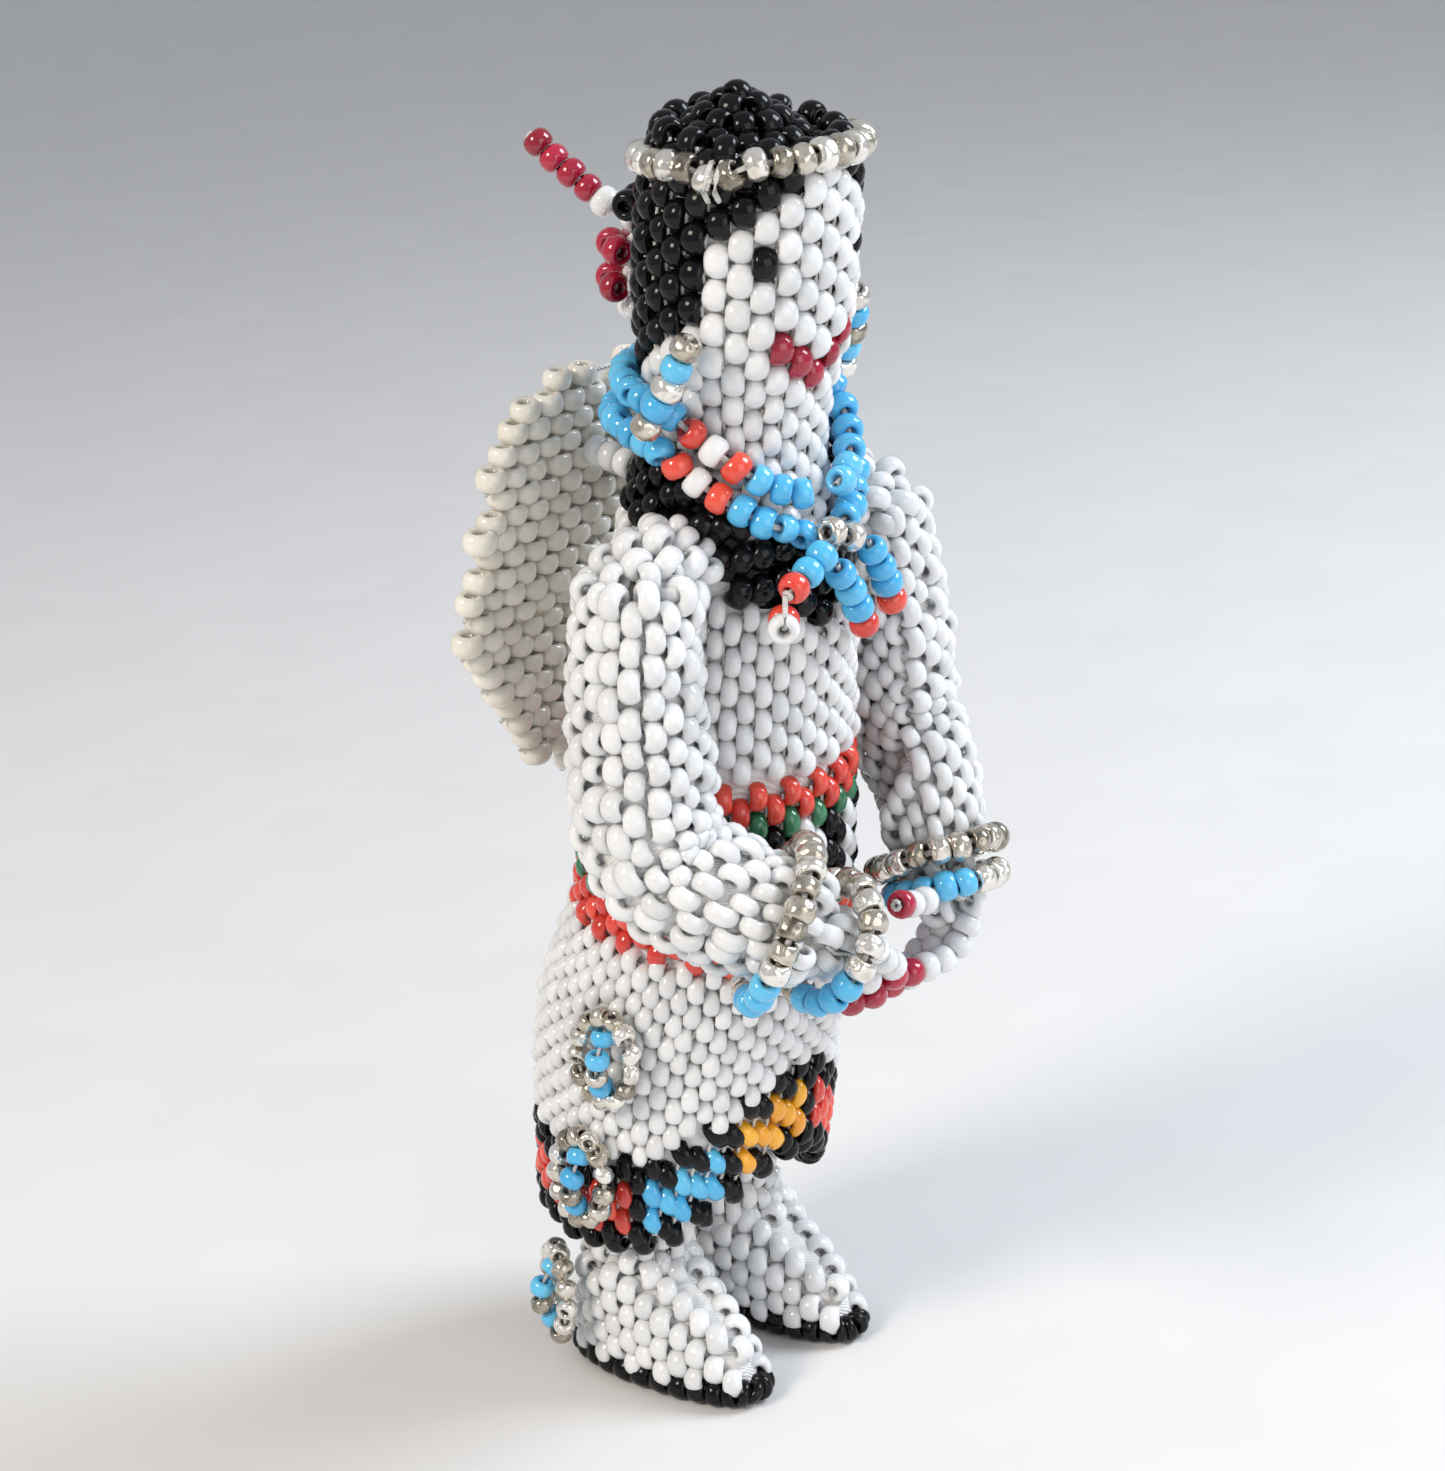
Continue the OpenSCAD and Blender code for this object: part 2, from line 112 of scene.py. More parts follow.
# ---------------------------------------------------------------- materials
class Shader:
    """A material being made: adds nodes, sets their sockets and links them."""

    def __init__(self, name):
        self.material = bpy.data.materials.new(name)
        self.material.use_nodes = True
        self.tree = self.material.node_tree
        self.bsdf = self.tree.nodes["Principled BSDF"]
        self.place = self.node("TexCoord").outputs["Object"]

    def node(self, kind, inputs=None, **settings):
        made = self.tree.nodes.new("ShaderNode" + kind)
        for key, value in settings.items():
            setattr(made, key, value)
        self.feed(made, inputs or {})
        return made

    def feed(self, node, inputs):
        """Links each input that is given as a socket, and sets the others."""
        for key, value in inputs.items():
            if isinstance(value, bpy.types.NodeSocket):
                self.tree.links.new(value, node.inputs[key])
            else:
                node.inputs[key].default_value = value

    def noise(self, scale, detail):
        return self.node("TexNoise", {"Vector": self.place, "Scale": scale, "Detail": detail}).outputs["Fac"]

    def ramp(self, factor, *stops):
        """Colour by factor, from (position, colour) stops in rising order."""
        node = self.node("ValToRGB", {"Fac": factor})
        elements = node.color_ramp.elements
        for element, (position, colour) in zip(elements, (stops[0], stops[-1])):
            element.position, element.color = position, (*colour, 1)
        for position, colour in stops[1:-1]:
            elements.new(position).color = (*colour, 1)
        return node.outputs["Color"]

    def bump(self, height, strength, distance):
        node = self.node("Bump", {"Height": height, "Strength": strength, "Distance": distance})
        return node.outputs["Normal"]

    def bead_colour(self, pattern, spread, stops, hole_shade_colour):
        """Colour by pattern and by bead, with painted shade inside the hole."""
        # the 'hole' attribute weights the painted shade inside the hole
        tint, hole = (self.node("Attribute", attribute_name=n).outputs["Fac"] for n in ("rnd", "hole"))
        level = self.node("Math", {0: pattern, 1: spread, 2: tint}, operation="MULTIPLY_ADD").outputs[0]
        mix = self.node("Mix", {"Factor": hole, "A": self.ramp(level, *stops), "B": (*hole_shade_colour, 1)},
                        data_type="RGBA")
        return mix.outputs["Result"]


def glass(name, base, dark, light, rough=0.07, milk=0.0, depth=0.0007, coat=0.35, bump=0.12, ior=1.52):
    """Opaque glass bead: tint per bead, faint mottling, uneven polish, painted shade inside the hole."""
    s = Shader(name)
    mottle = s.noise(900.0, 5.0)
    polish = s.node("MapRange", {"Value": s.noise(2600.0, 3.0), "To Min": rough * 0.6, "To Max": rough * 2.2})
    stops = ((0.15, dark), (0.6, base), (1.0, light))
    # painted shade: the hole colour is a darker copy of the bead's own dark tone
    s.feed(s.bsdf, {"Base Color": s.bead_colour(mottle, 0.45, stops, [c * 0.55 for c in dark]),
                    "Roughness": polish.outputs["Result"], "Normal": s.bump(mottle, bump, 0.00008),
                    "IOR": ior, "Coat Weight": coat, "Coat Roughness": 0.03})
    if milk:
        s.feed(s.bsdf, {"Subsurface Weight": milk, "Subsurface Radius": (1.0, 0.9, 0.8),
                        "Subsurface Scale": depth})
    return s.material


def silver_lined(name):
    """Clear glass over a bright metal lining: broken glints under a smooth coat, painted shade inside the
    hole.
    """
    s = Shader(name)
    facets = s.node("TexVoronoi", feature="SMOOTH_F1")
    s.feed(facets, {"Scale": 1500.0, "Vector": s.place})
    stops = ((0.3, (0.15, 0.125, 0.09)), (0.6, (0.54, 0.48, 0.39)), (1.0, (0.88, 0.84, 0.78)))
    # painted shade: the hole colour (0.10, 0.09, 0.08) darkens the inside of the hole
    s.feed(s.bsdf, {"Base Color": s.bead_colour(s.noise(1400.0, 4.0), 0.8, stops, (0.10, 0.09, 0.08)),
                    "Normal": s.bump(facets.outputs["Distance"], 0.9, 0.00025),
                    "Metallic": 0.8, "Roughness": 0.2,
                    "Coat Weight": 1.0, "Coat Roughness": 0.02, "Coat IOR": 1.5})
    return s.material


def spun(name, base, dark):
    """Matt twisted thread or woven cloth."""
    s = Shader(name)
    twist = s.node("TexWave", {"Scale": 1800.0, "Distortion": 2.0, "Vector": s.place},
                   bands_direction="DIAGONAL")
    s.feed(s.bsdf, {"Base Color": s.ramp(s.noise(2200.0, 6.0), (0.3, dark), (0.75, base)),
                    "Normal": s.bump(twist.outputs["Fac"], 0.6, 0.0001),
                    "Roughness": 0.75, "Sheen Weight": 0.3})
    return s.material


MILKY = {"rough": 0.10, "milk": 0.35, "depth": 0.0009, "coat": 0.25, "bump": 0.10}
MAT = {
    "white": glass("bead_white", (0.76, 0.765, 0.77), (0.68, 0.685, 0.69), (0.82, 0.82, 0.82), **MILKY),
    "black": glass("bead_black", (0.004, 0.004, 0.005), (0.002, 0.002, 0.002), (0.007, 0.007, 0.008),
                   coat=0.0, ior=1.33),
    "blue": glass("bead_blue", (0.085, 0.47, 0.79), (0.06, 0.38, 0.71), (0.14, 0.56, 0.86),
                  0.08, 0.1, 0.0004),
    "red": glass("bead_red", (0.70, 0.055, 0.035), (0.58, 0.035, 0.025), (0.80, 0.09, 0.05),
                 0.08, 0.08, 0.0004),
    "darkred": glass("bead_darkred", (0.36, 0.010, 0.034), (0.25, 0.006, 0.020), (0.48, 0.018, 0.055)),
    "green": glass("bead_green", (0.025, 0.17, 0.075), (0.015, 0.12, 0.05), (0.05, 0.25, 0.12), 0.08),
    "orange": glass("bead_orange", (0.86, 0.37, 0.015), (0.76, 0.29, 0.01), (0.93, 0.47, 0.03),
                    0.08, 0.08, 0.0004),
    "silver": silver_lined("bead_silver"),
    # painted shade: a warmer, darker copy of the white bead material, which paints the shade and warm light
    # on the white cape beads
    "cream": glass("bead_white_painted_warm_shade", (0.78, 0.74, 0.66), (0.70, 0.665, 0.59), (0.82, 0.79, 0.72), **MILKY),
    "thread": spun("thread_white", (0.82, 0.80, 0.76), (0.55, 0.53, 0.50)),
    "liner": spun("thread_backing", (0.84, 0.835, 0.83), (0.70, 0.695, 0.69)),
    "core": spun("core_cloth", (0.62, 0.60, 0.56), (0.38, 0.36, 0.33)),
}
ORDER = list(MAT)
MID = {k: i for i, k in enumerate(ORDER)}


# ---------------------------------------------------------------- bead meshes
def bead_template(nu=16, nv=12, hole=0.21, power=2.0):
    """Unit rocaille bead: radius 1 in x and y, length 1 along z, with its hole and the weight of the painted
    shade inside it.
    """
    a = np.arange(nv) * TAU / nv + TAU / nv / 2
    rc, wr = (1 + hole) / 2, (1 - hole) / 2
    e = 2 / power
    rho = rc + wr * np.sign(np.cos(a)) * np.abs(np.cos(a)) ** e
    z = 0.5 * np.sign(np.sin(a)) * np.abs(np.sin(a)) ** e
    t = np.arange(nu) * TAU / nu
    v = np.stack([np.outer(np.cos(t), rho), np.outer(np.sin(t), rho), np.tile(z, (nu, 1))], -1).reshape(-1, 3)
    # weight of the painted shade on the inner wall of the hole
    h = np.tile(np.clip((-np.cos(a) - 0.25) / 0.5, 0, 1), nu)
    i = np.arange(nu)[:, None]
    j = np.arange(nv)[None, :]
    f = np.stack([i * nv + j, ((i + 1) % nu) * nv + j, ((i + 1) % nu) * nv + (j + 1) % nv,
                  i * nv + (j + 1) % nv], -1).reshape(-1, 4)
    return v, h, f


TV, TH, TF = bead_template()


def new_object(name, verts, faces, mats, fmat, attrs=None, smooth_on=True):
    me = bpy.data.meshes.new(name)
    n, k = len(verts), faces.shape[1]
    me.vertices.add(n)
    me.vertices.foreach_set("co", np.ascontiguousarray(verts, np.float32).ravel())
    me.loops.add(len(faces) * k)
    me.loops.foreach_set("vertex_index", np.ascontiguousarray(faces, np.int32).ravel())
    me.polygons.add(len(faces))
    me.polygons.foreach_set("loop_start", np.arange(len(faces), dtype=np.int32) * k)
    me.polygons.foreach_set("loop_total", np.full(len(faces), k, np.int32))
    used = sorted(set(int(x) for x in fmat))
    for u in used:
        me.materials.append(mats[u])
    remap = {u: i for i, u in enumerate(used)}
    me.polygons.foreach_set("material_index", np.array([remap[int(x)] for x in fmat], np.int32))
    me.polygons.foreach_set("use_smooth", np.full(len(faces), smooth_on))
    for key, val in (attrs or {}).items():
        at = me.attributes.new(key, "FLOAT", "POINT")
        at.data.foreach_set("value", np.ascontiguousarray(val, np.float32))
    me.update(calc_edges=True)
    me.validate()
    ob = bpy.data.objects.new(name, me)
    bpy.context.scene.collection.objects.link(ob)
    return ob


class Beads:
    """Collects beads in the body frame (mm), then makes one mesh from them."""

    def __init__(self):
        self.rows = []

    def add(self, p, axis, normal, rn, rw, length, mats, jit=0.0, tip=0.0, grow=0.0):
        p = np.atleast_2d(np.asarray(p, float))
        n = len(p)
        if n == 0:
            return
        axis = unit(np.broadcast_to(np.asarray(axis, float), (n, 3)) + rng.normal(0, tip, (n, 3)))
        normal = np.broadcast_to(np.asarray(normal, float), (n, 3))
        normal = unit(normal - axis * np.sum(normal * axis, 1, keepdims=True))
        p = p + rng.normal(0, jit, (n, 3))
        g = 1 + rng.normal(0, grow, n)
        full = lambda x: np.broadcast_to(np.asarray(x, float), (n,)) * g
        mid = np.array([MID[m] for m in (mats if not isinstance(mats, str) else [mats] * n)])
        self.rows.append((p, axis, normal, full(rn), full(rw), full(length), mid))

    def strand(self, pts, mats, r, length, jit):
        """Beads threaded along points, each facing its neighbours."""
        pts = np.asarray(pts, float)
        d = unit(np.gradient(pts, axis=0))
        ref = np.where(np.abs(d[:, 2:3]) > 0.9, [[1.0, 0, 0]], [[0, 0, 1.0]])
        self.add(pts, d, np.cross(d, ref), r, r, length, mats, jit, 0.03, 0.03)

    def arrays(self):
        return [np.concatenate([r[i] for r in self.rows]) for i in range(7)]

    def make(self, name, body, *nodes, slot, ground=False, bend=None):
        p, a, n, rn, rw, ln, mid = self.arrays()
        w = np.cross(a, n)
        if not ground:
            p, a, n, w = to_row(p), to_row_dir(a), to_row_dir(n), to_row_dir(w)
        else:
            p = foot_row(p)
        v = (p[:, None, :] + MM * (rn[:, None, None] * TV[None, :, 0:1] * n[:, None, :]
             + rw[:, None, None] * TV[None, :, 1:2] * w[:, None, :]
             + ln[:, None, None] * TV[None, :, 2:3] * a[:, None, :]))
        k = len(TV)
        f = (TF[None] + (np.arange(len(p)) * k)[:, None, None]).reshape(-1, 4)
        rnd = np.repeat(rng.random(len(p)) * 0.75, k)
        # the 'hole' attribute carries the painted shade inside each bead's hole
        ob = new_object(name, v.reshape(-1, 3), f, [MAT[o] for o in ORDER],
                        np.repeat(mid, len(TF)), {"rnd": rnd, "hole": np.tile(TH, len(p))})
        if bend is None:
            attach(ob, body)
        else:
            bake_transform(ob)
        if nodes:
            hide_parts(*nodes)


class Tubes:
    """Thin round threads, joined into one mesh."""

    def __init__(self, sides=6):
        self.v, self.f, self.m, self.n, self.k = [], [], [], 0, sides

    def add(self, pts, r=0.15, mat="thread", closed=False):
        pts = np.asarray(pts, float)
        d = np.roll(pts, -1, 0) - np.roll(pts, 1, 0) if closed else np.gradient(pts, axis=0)
        d = unit(d)
        ref = np.array([0.31, 0.17, 0.93])
        u = unit(np.cross(d, ref))
        w = np.cross(d, u)
        t = np.arange(self.k) * TAU / self.k
        ring = pts[:, None] + r * (np.cos(t)[None, :, None] * u[:, None]
                                   + np.sin(t)[None, :, None] * w[:, None])
        m = len(pts)
        k = self.k
        i = np.arange(m if closed else m - 1)[:, None]
        j = np.arange(k)[None]
        i2 = (i + 1) % m
        f = np.stack([i * k + j, i * k + (j + 1) % k, i2 * k + (j + 1) % k, i2 * k + j], -1).reshape(-1, 4)
        self.v.append(ring.reshape(-1, 3))
        self.f.append(f + self.n)
        self.m.append(np.full(len(f), MID[mat]))
        self.n += m * k

    def make(self, name, body, *nodes, ground=False):
        v = np.concatenate(self.v)
        v = foot_row(v) if ground else to_row(v)
        ob = new_object(name, v, np.concatenate(self.f), [MAT[o] for o in ORDER], np.concatenate(self.m))
        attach(ob, body)
        if nodes:
            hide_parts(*nodes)


def peyote(out, surf, cols, hs, half, s0, colour, keep=None, rb=1.0, lmax=1.5, lf=1.2,
           jit=0.04, tip=0.04, grow=0.03, threads=None, phase=0.0):
    """Tubular peyote stitch over surf(s, phi) -> points, centres.

    Each bead's hole runs round the tube. A column's beads sit half a row off its neighbours'.
    """
    c, h = np.meshgrid(np.arange(cols), np.asarray(hs), indexing="ij")
    sel = (c + h) % 2 == 0
    c, h = c[sel], h[sel]
    cc = np.where(c > cols // 2, c - cols, c)
    s = s0 + h * half
    phi = cc * TAU / cols + phase
    p, ctr = surf(s, phi)
    e = 1e-3
    dphi = (surf(s, phi + e)[0] - surf(s, phi - e)[0]) / (2 * e)
    ds = (surf(s + e, phi)[0] - surf(s - e, phi)[0]) / (2 * e)
    a = unit(dphi)
    w = unit(ds - a * np.sum(ds * a, 1, keepdims=True))
    n = np.cross(a, w)
    n = n * np.sign(np.sum(n * (p - ctr), 1, keepdims=True) + 1e-12)
    width = np.linalg.norm(dphi, axis=1) * TAU / cols
    row = np.linalg.norm(ds, axis=1) * 2 * half
    ok = np.ones(len(p), bool) if keep is None else keep(p, cc, h)
    mats = np.array([colour(int(x), int(y), q) for x, y, q in zip(cc, h, p)])
    ok &= mats != ""
    out.add(p[ok], a[ok], n[ok], rb, np.clip(row * 0.515, 0.75, 1.2)[ok],
            np.clip(width * lf, 0.7, lmax)[ok], list(mats[ok]), jit, tip, grow)
    if threads is not None:
        key = {(int(x) % cols, int(y)): i for i, (x, y) in enumerate(zip(c, h)) if ok[i]}
        for (x, y), i in key.items():
            for dy in (1, -1):
                j = key.get(((x + 1) % cols, y + dy))
                if j is None or rng.random() < 0.15:
                    continue
                q0 = p[i] + a[i] * width[i] * 0.42 + n[i] * 0.12
                q1 = p[j] - a[j] * width[j] * 0.42 + n[j] * 0.12
                threads.add([q0, (q0 + q1) / 2 + n[i] * 0.05, q1], 0.13)


def revolve(profile, yoff=None):
    """Surface from a profile [radius, z]; s runs along it by length."""
    pr = np.asarray(profile, float)
    t = np.linspace(0, len(pr) - 1, 200)
    i = np.clip(t.astype(int), 0, len(pr) - 2)
    u = t - i
    p0, p1, p2, p3 = (pr[np.clip(i + k, 0, len(pr) - 1)] for k in (-1, 0, 1, 2))
    u = u[:, None]
    q = 0.5 * (2 * p1 + (p2 - p0) * u + (2 * p0 - 5 * p1 + 4 * p2 - p3) * u ** 2
               + (3 * p1 - p0 - 3 * p2 + p3) * u ** 3)
    arc = np.concatenate([[0], np.cumsum(np.linalg.norm(np.diff(q, axis=0), axis=1))])

    def surf(s, phi):
        r = np.interp(s, arc, q[:, 0])
        z = np.interp(s, arc, q[:, 1])
        lo = np.clip(-s, 0, None)
        hi = np.clip(s - arc[-1], 0, None)
        dz0, dz1 = unit(q[1] - q[0]), unit(q[-1] - q[-2])
        r = r - lo * dz0[0] + hi * dz1[0]
        z = z - lo * dz0[1] + hi * dz1[1]
        yo = yoff(z) if yoff else 0 * z
        y = -r * np.cos(phi)
        return (np.stack([r * np.sin(phi), y + yo, z], -1), np.stack([0 * r, yo, z], -1))

    surf.length = float(arc[-1])
    surf.s_at = lambda z: float(np.interp(z, q[:, 1] if q[-1, 1] > q[0, 1] else q[::-1, 1],
                                          arc if q[-1, 1] > q[0, 1] else arc[::-1]))
    return surf


def liner(surf, s0, s1, name, body, mat, inset, keep=None, ns=24, nphi=72, ground=False):
    """Backing layer just under the beads: the web of thread that holds them."""
    s, phi = np.meshgrid(np.linspace(s0, s1, ns), np.arange(nphi) * TAU / nphi, indexing="ij")
    p, ctr = surf(s.ravel(), phi.ravel())
    q = p - unit(p - ctr) * inset
    q = q + unit(p - ctr) * 0.08 * rng.standard_normal(len(q))[:, None]
    idx = np.arange(ns * nphi).reshape(ns, nphi)
    a, b = idx[:-1], idx[1:]
    f = np.stack([a, np.roll(a, -1, 1), np.roll(b, -1, 1), b], -1).reshape(-1, 4)
    if keep is not None:
        k = keep(q)
        f = f[k[f].all(1)]
    ob = new_object(name, foot_row(q) if ground else to_row(q), f, [MAT[mat]], np.zeros(len(f), int))
    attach(ob, body)


# ---------------------------------------------------------------- head and neck
def head_back(z):
    return 0.5 * smooth((z - 77) / 4)


head = revolve([[5.2, 96.5], [5.6, 95.1], [5.9, 93.2], [6.02, 90.5], [6.02, 87.5], [5.85, 84.5], [5.45, 82.2],
                [4.95, 80.2], [4.65, 78.2], [4.6, 76.4], [4.95, 74.6], [5.5, 72.6], [6.0, 70.8], [6.5, 69.4]],
               head_back)
S_TOP = head.s_at(95.05)   # the top bead row of the head


def collar_z(phi):
    """Lowest ring of the black collar: level behind, dipping to a V in front."""
    return 72.5 - 5.0 * np.clip(np.cos(phi), 0, None) ** 1.4


def collar_top(p):
    return collar_z(np.arctan2(p[..., 0], -p[..., 1])) + 4.3


def head_colour(c, h, p):
    """White face with two eyes and a mouth, c columns from the middle and h half rows down."""
    f = abs(c)
    if h < -1:
        return ""
    if f <= 5:
        if h < f:
            return "black"
        if f == 3 and h == 5:
            return "black"
        if (f, h) in ((0, 12), (1, 11), (2, 10)):
            return "darkred"
        return "white"
    edge = 8.6 + 1.25 * (f - 5.5)
    return "black" if h < min(edge, 14.2) else "white"


bd, th = Beads(), Tubes(5)
peyote(bd, head, 28, range(-1, 24), 1.05, S_TOP, head_colour,
       keep=lambda p, c, h: p[:, 2] > collar_top(p) - 0.2, rb=1.0, lmax=1.5, lf=1.16, threads=th, jit=0.05)
bd.make("head_neck_beads", "figure", "face_beadwork", "hair_beadwork", "neck_beadwork", slot="white_bead")
liner(head, 0.5, head.length, "head_backing", "figure", "liner", 0.12,
      keep=lambda q: (q[:, 2] > collar_top(q) - 1.0))

# crown: rings of beads closing the top of the head
crown = Beads()
for r, z, n in ((5.3, 94.5, 24), (4.2, 95.1, 18), (3.2, 96.0, 13), (2.1, 96.8, 9), (1.0, 97.5, 4)):
    a = (np.arange(n) + rng.random()) * TAU / n
    slope = 0.35 + 0.09 * r
    nrm = np.stack([np.sin(a) * slope, -np.cos(a) * slope, 1 + 0 * a], 1)
    k = (z - 94.5) / 4
    crown.add(np.stack([r * np.sin(a) - 0.8 * k, head_back(99) + 0.9 * k - r * np.cos(a), z + 0 * a], 1),
              np.stack([np.cos(a), np.sin(a), 0 * a], 1), nrm, 1.0, 1.0, min(1.4, TAU * r / n * 1.06),
              "black", 0.06, 0.05, 0.03)
crown.add([-0.7, 1.3, 98.1], [1, 0, 0], [0, 0, 1], 1, 1, 1.3, "black")
crown.make("crown_beads", "figure", "crown_beadwork", slot="black_bead")

# head ring of silver-lined beads on a thread, pinned by a thread at the right temple
def ring_z(a):
    return 95.0 + 1.2 * np.cos(a) - 0.9 * np.exp(-((a + math.radians(66)) / 0.2) ** 2)


a = (np.arange(29) + 0.3) * TAU / 29
a = (a + np.pi) % TAU - np.pi
pt = lambda t: np.stack([6.5 * np.sin(t), 0.6 - 6.5 * np.cos(t), ring_z(t)], -1)
hr = Beads()
hr.add(pt(a), pt(a + 0.02) - pt(a - 0.02), np.stack([np.sin(a), -np.cos(a), 0.25 + 0 * a], -1),
       1.0, 1.0, BEAD, "silver", 0.03, 0.05, 0.04)
hr.make("head_ring", "figure", "head_ring_beads", slot="silver_bead")
tb = Tubes(8)
u = np.linspace(-np.pi, np.pi, 120, endpoint=False)
tb.add(pt(u), 0.2, closed=True)
q = math.radians(-66)
for k in (-0.05, 0.05):
    c0 = pt(np.array([q + k]))[0]
    o = np.array([math.sin(q), -math.cos(q), 0])
    loop = [c0 - o * 0.9 + [0, 0, 0.9], c0 + [0, 0, 1.08], c0 + o * 1.05 + [0, 0, 0.3],
            c0 + o * 1.0 - [0, 0, 0.5], c0 + o * 0.2 - [0, 0, 1.15]]
    tb.add(np.array(loop), 0.17)
tb.make("head_ring_cord", "figure", "head_ring_thread")

# ---------------------------------------------------------------- trunk
trunk = revolve([[5.9, 73.6], [6.5, 71.2], [7.0, 68], [7.3, 65], [7.5, 62], [7.75, 58.5], [7.95, 55.5],
                 [8.3, 50], [8.5, 46], [8.6, 43], [8.7, 41]])


def collar_low(p):
    return collar_z(np.arctan2(p[..., 0], -p[..., 1])) - 0.7


def belt_top(p):
    return 55.2 - 0.09 * (p[..., 1])


tr = Beads()
peyote(tr, trunk, 46, range(-4, 24), 1.03, trunk.s_at(71.0), lambda c, h, p: "white",
       keep=lambda p, c, h: (p[:, 2] < collar_low(p)) & (p[:, 2] > belt_top(p) + 1.2),
       lmax=1.4, lf=1.08, threads=th, jit=0.05, tip=0.05)
tr.make("bodice_beads", "figure", "bodice_beadwork", slot="white_bead")


def tilted_trunk(s, phi):
    p, c = trunk(s, phi)
    q = p.copy()
    q[:, 2] += -0.09 * p[:, 1] * np.clip((p[:, 2] - 44) / 11, 0, 1)
    return q, c


def belt_colour(c, h, p):
    if h <= 1:
        return "red"
    if h == 2:
        return "green"
    if h >= 9:
        return "red"
    if h == 8:
        return "green"
    k = (c % 4)
    return "black" if (k in (0, 1)) == (h in (3, 5, 7)) else "white"


belt = Beads()
peyote(belt, tilted_trunk, 46, range(0, 12), 1.0, trunk.s_at(55.1), belt_colour,
       lmax=1.4, lf=1.07, threads=th)
belt.make("belt_beads", "figure", "belt_beadwork", slot="mixed_bead")
liner(trunk, 0.5, trunk.length, "trunk_backing", "figure", "liner", 0.12, ns=40,
      keep=lambda q: q[:, 2] < collar_low(q) + 1)

# black collar: peyote rows that dip to a V in front
def collar_surf(u, phi):
    z = collar_z(phi) + 4.0 - u
    r = np.interp(z, [65, 68, 71.2, 73.6, 76.5], [7.55, 7.2, 6.65, 6.1, 5.5])
    c = np.stack([0 * r, 0 * r, z - 2.4], -1)
    return np.stack([r * np.sin(phi), -r * np.cos(phi), z], -1), c


col = Beads()
peyote(col, collar_surf, 32, range(0, 5), 1.0, 0.0, lambda c, h, p: "black", lmax=1.45, lf=1.12)
col.make("collar_beads", "figure", "collar_beadwork", slot="black_bead")

# ---------------------------------------------------------------- skirt and hem
def skirt_back(z):
    return 1.6 * smooth((44 - z) / 10)


skirt = revolve([[8.55, 45.2], [8.9, 42.5], [9.3, 39], [9.55, 35], [9.6, 30], [9.4, 26], [9.05, 20],
                 [8.9, 16]], skirt_back)


def hem_low(phi):
    """Height of the hem's lower edge, which rises to a point in front."""
    f = np.degrees((phi + np.pi) % TAU - np.pi)
    return 19.5 + 7.4 * np.exp(-(f / 42) ** 2) + 0.4 * np.clip(np.cos(np.radians(f)), 0, 1)


def phi_of(p):
    return np.arctan2(p[..., 0], -(p[..., 1] - skirt_back(p[..., 2])))


sk = Beads()
peyote(sk, skirt, 60, range(0, 28), 0.97, skirt.s_at(43.2), lambda c, h, p: "white",
       keep=lambda p, c, h: p[:, 2] > hem_low(phi_of(p)) + 7.9,
       lmax=1.3, lf=1.16, threads=th, phase=math.radians(2), jit=0.05)
sk.make("skirt_beads", "figure", "skirt_beadwork", slot="white_bead")


def hem_surf(s, phi):
    """s runs down from the hem's top bead row, which is at 0 and follows hem_low."""
    z = hem_low(phi) + 1.2 + 5.4 * 1.1 - s
    sv = np.interp(z, ZS[::-1], SS[::-1])
    return skirt(sv, phi)


SS = np.linspace(0, skirt.length, 300)
ZS = skirt(SS, SS * 0)[0][:, 2]


def hem_colour(c, h, p):
    k = (c + 11) % 6
    if h <= 1 or k == 0 or h >= 5:
        return "black"
    block = int((c + 11) // 6) % 10
    return ("blue", "orange", "red")[block % 3] if block < 9 else "red"


hem = Beads()
peyote(hem, hem_surf, 60, range(0, 6), 1.1, 0.0, hem_colour, lmax=1.3, lf=1.16, threads=th,
       phase=math.radians(2), jit=0.04)
k = np.arange(1, 60, 2)
phi = k * TAU / 60 + math.radians(2 + 2.6)
p, c = hem_surf(5 * 1.1 + 0.75 + 0 * phi, phi)
hem.add(p, np.stack([np.cos(phi), np.sin(phi), 0.2 + 0 * phi], 1), p - c, 0.98, 0.98, 1.25, "black",
        0.06, 0.12, 0.03)
hem.make("hem_beads", "figure", "hem_border", slot="mixed_bead")
liner(skirt, 0.3, skirt.length, "skirt_backing", "figure", "liner", 0.125, ns=40, nphi=96,
      keep=lambda q: q[:, 2] > hem_low(phi_of(q)) + 0.9)

# ---------------------------------------------------------------- necklaces and hanging strands
def neck_pt(r, z, a):
    f = np.clip(np.cos(a), 0, None) ** 1.3
    return np.stack([r * np.sin(a), 0.6 - (r + 0.7 * f) * np.cos(a), z - 5 * f], -1)


nc = Tubes(8)
for name, r, z, n, accent in (("necklace_upper", 6.95, 80.4, 31, 0.805),
                              ("necklace_lower", 7.4, 78.0, 34, 0.785)):
    a = np.radians(15 + 330 * np.arange(n) / (n - 1))
    i0 = int(round(accent * n))
    mats = [("red", "white", "red")[i - i0] if 0 <= i - i0 < 3 else "blue" for i in range(n)]
    b = Beads()
    P = neck_pt(r, z, a)
    b.add(P, neck_pt(r, z, a + 0.01) - neck_pt(r, z, a - 0.01), P - [0, 0.6, 66], 1.0, 1.0, BEAD, mats,
          0.04, 0.06, 0.04)
    b.make(name + "_beads", "figure", name, slot="blue_bead")
    u = np.radians(np.linspace(9, 351, 100))
    nc.add(neck_pt(r, z, u), 0.2)
nc.make("necklace_cords", "figure", "necklace_threads")


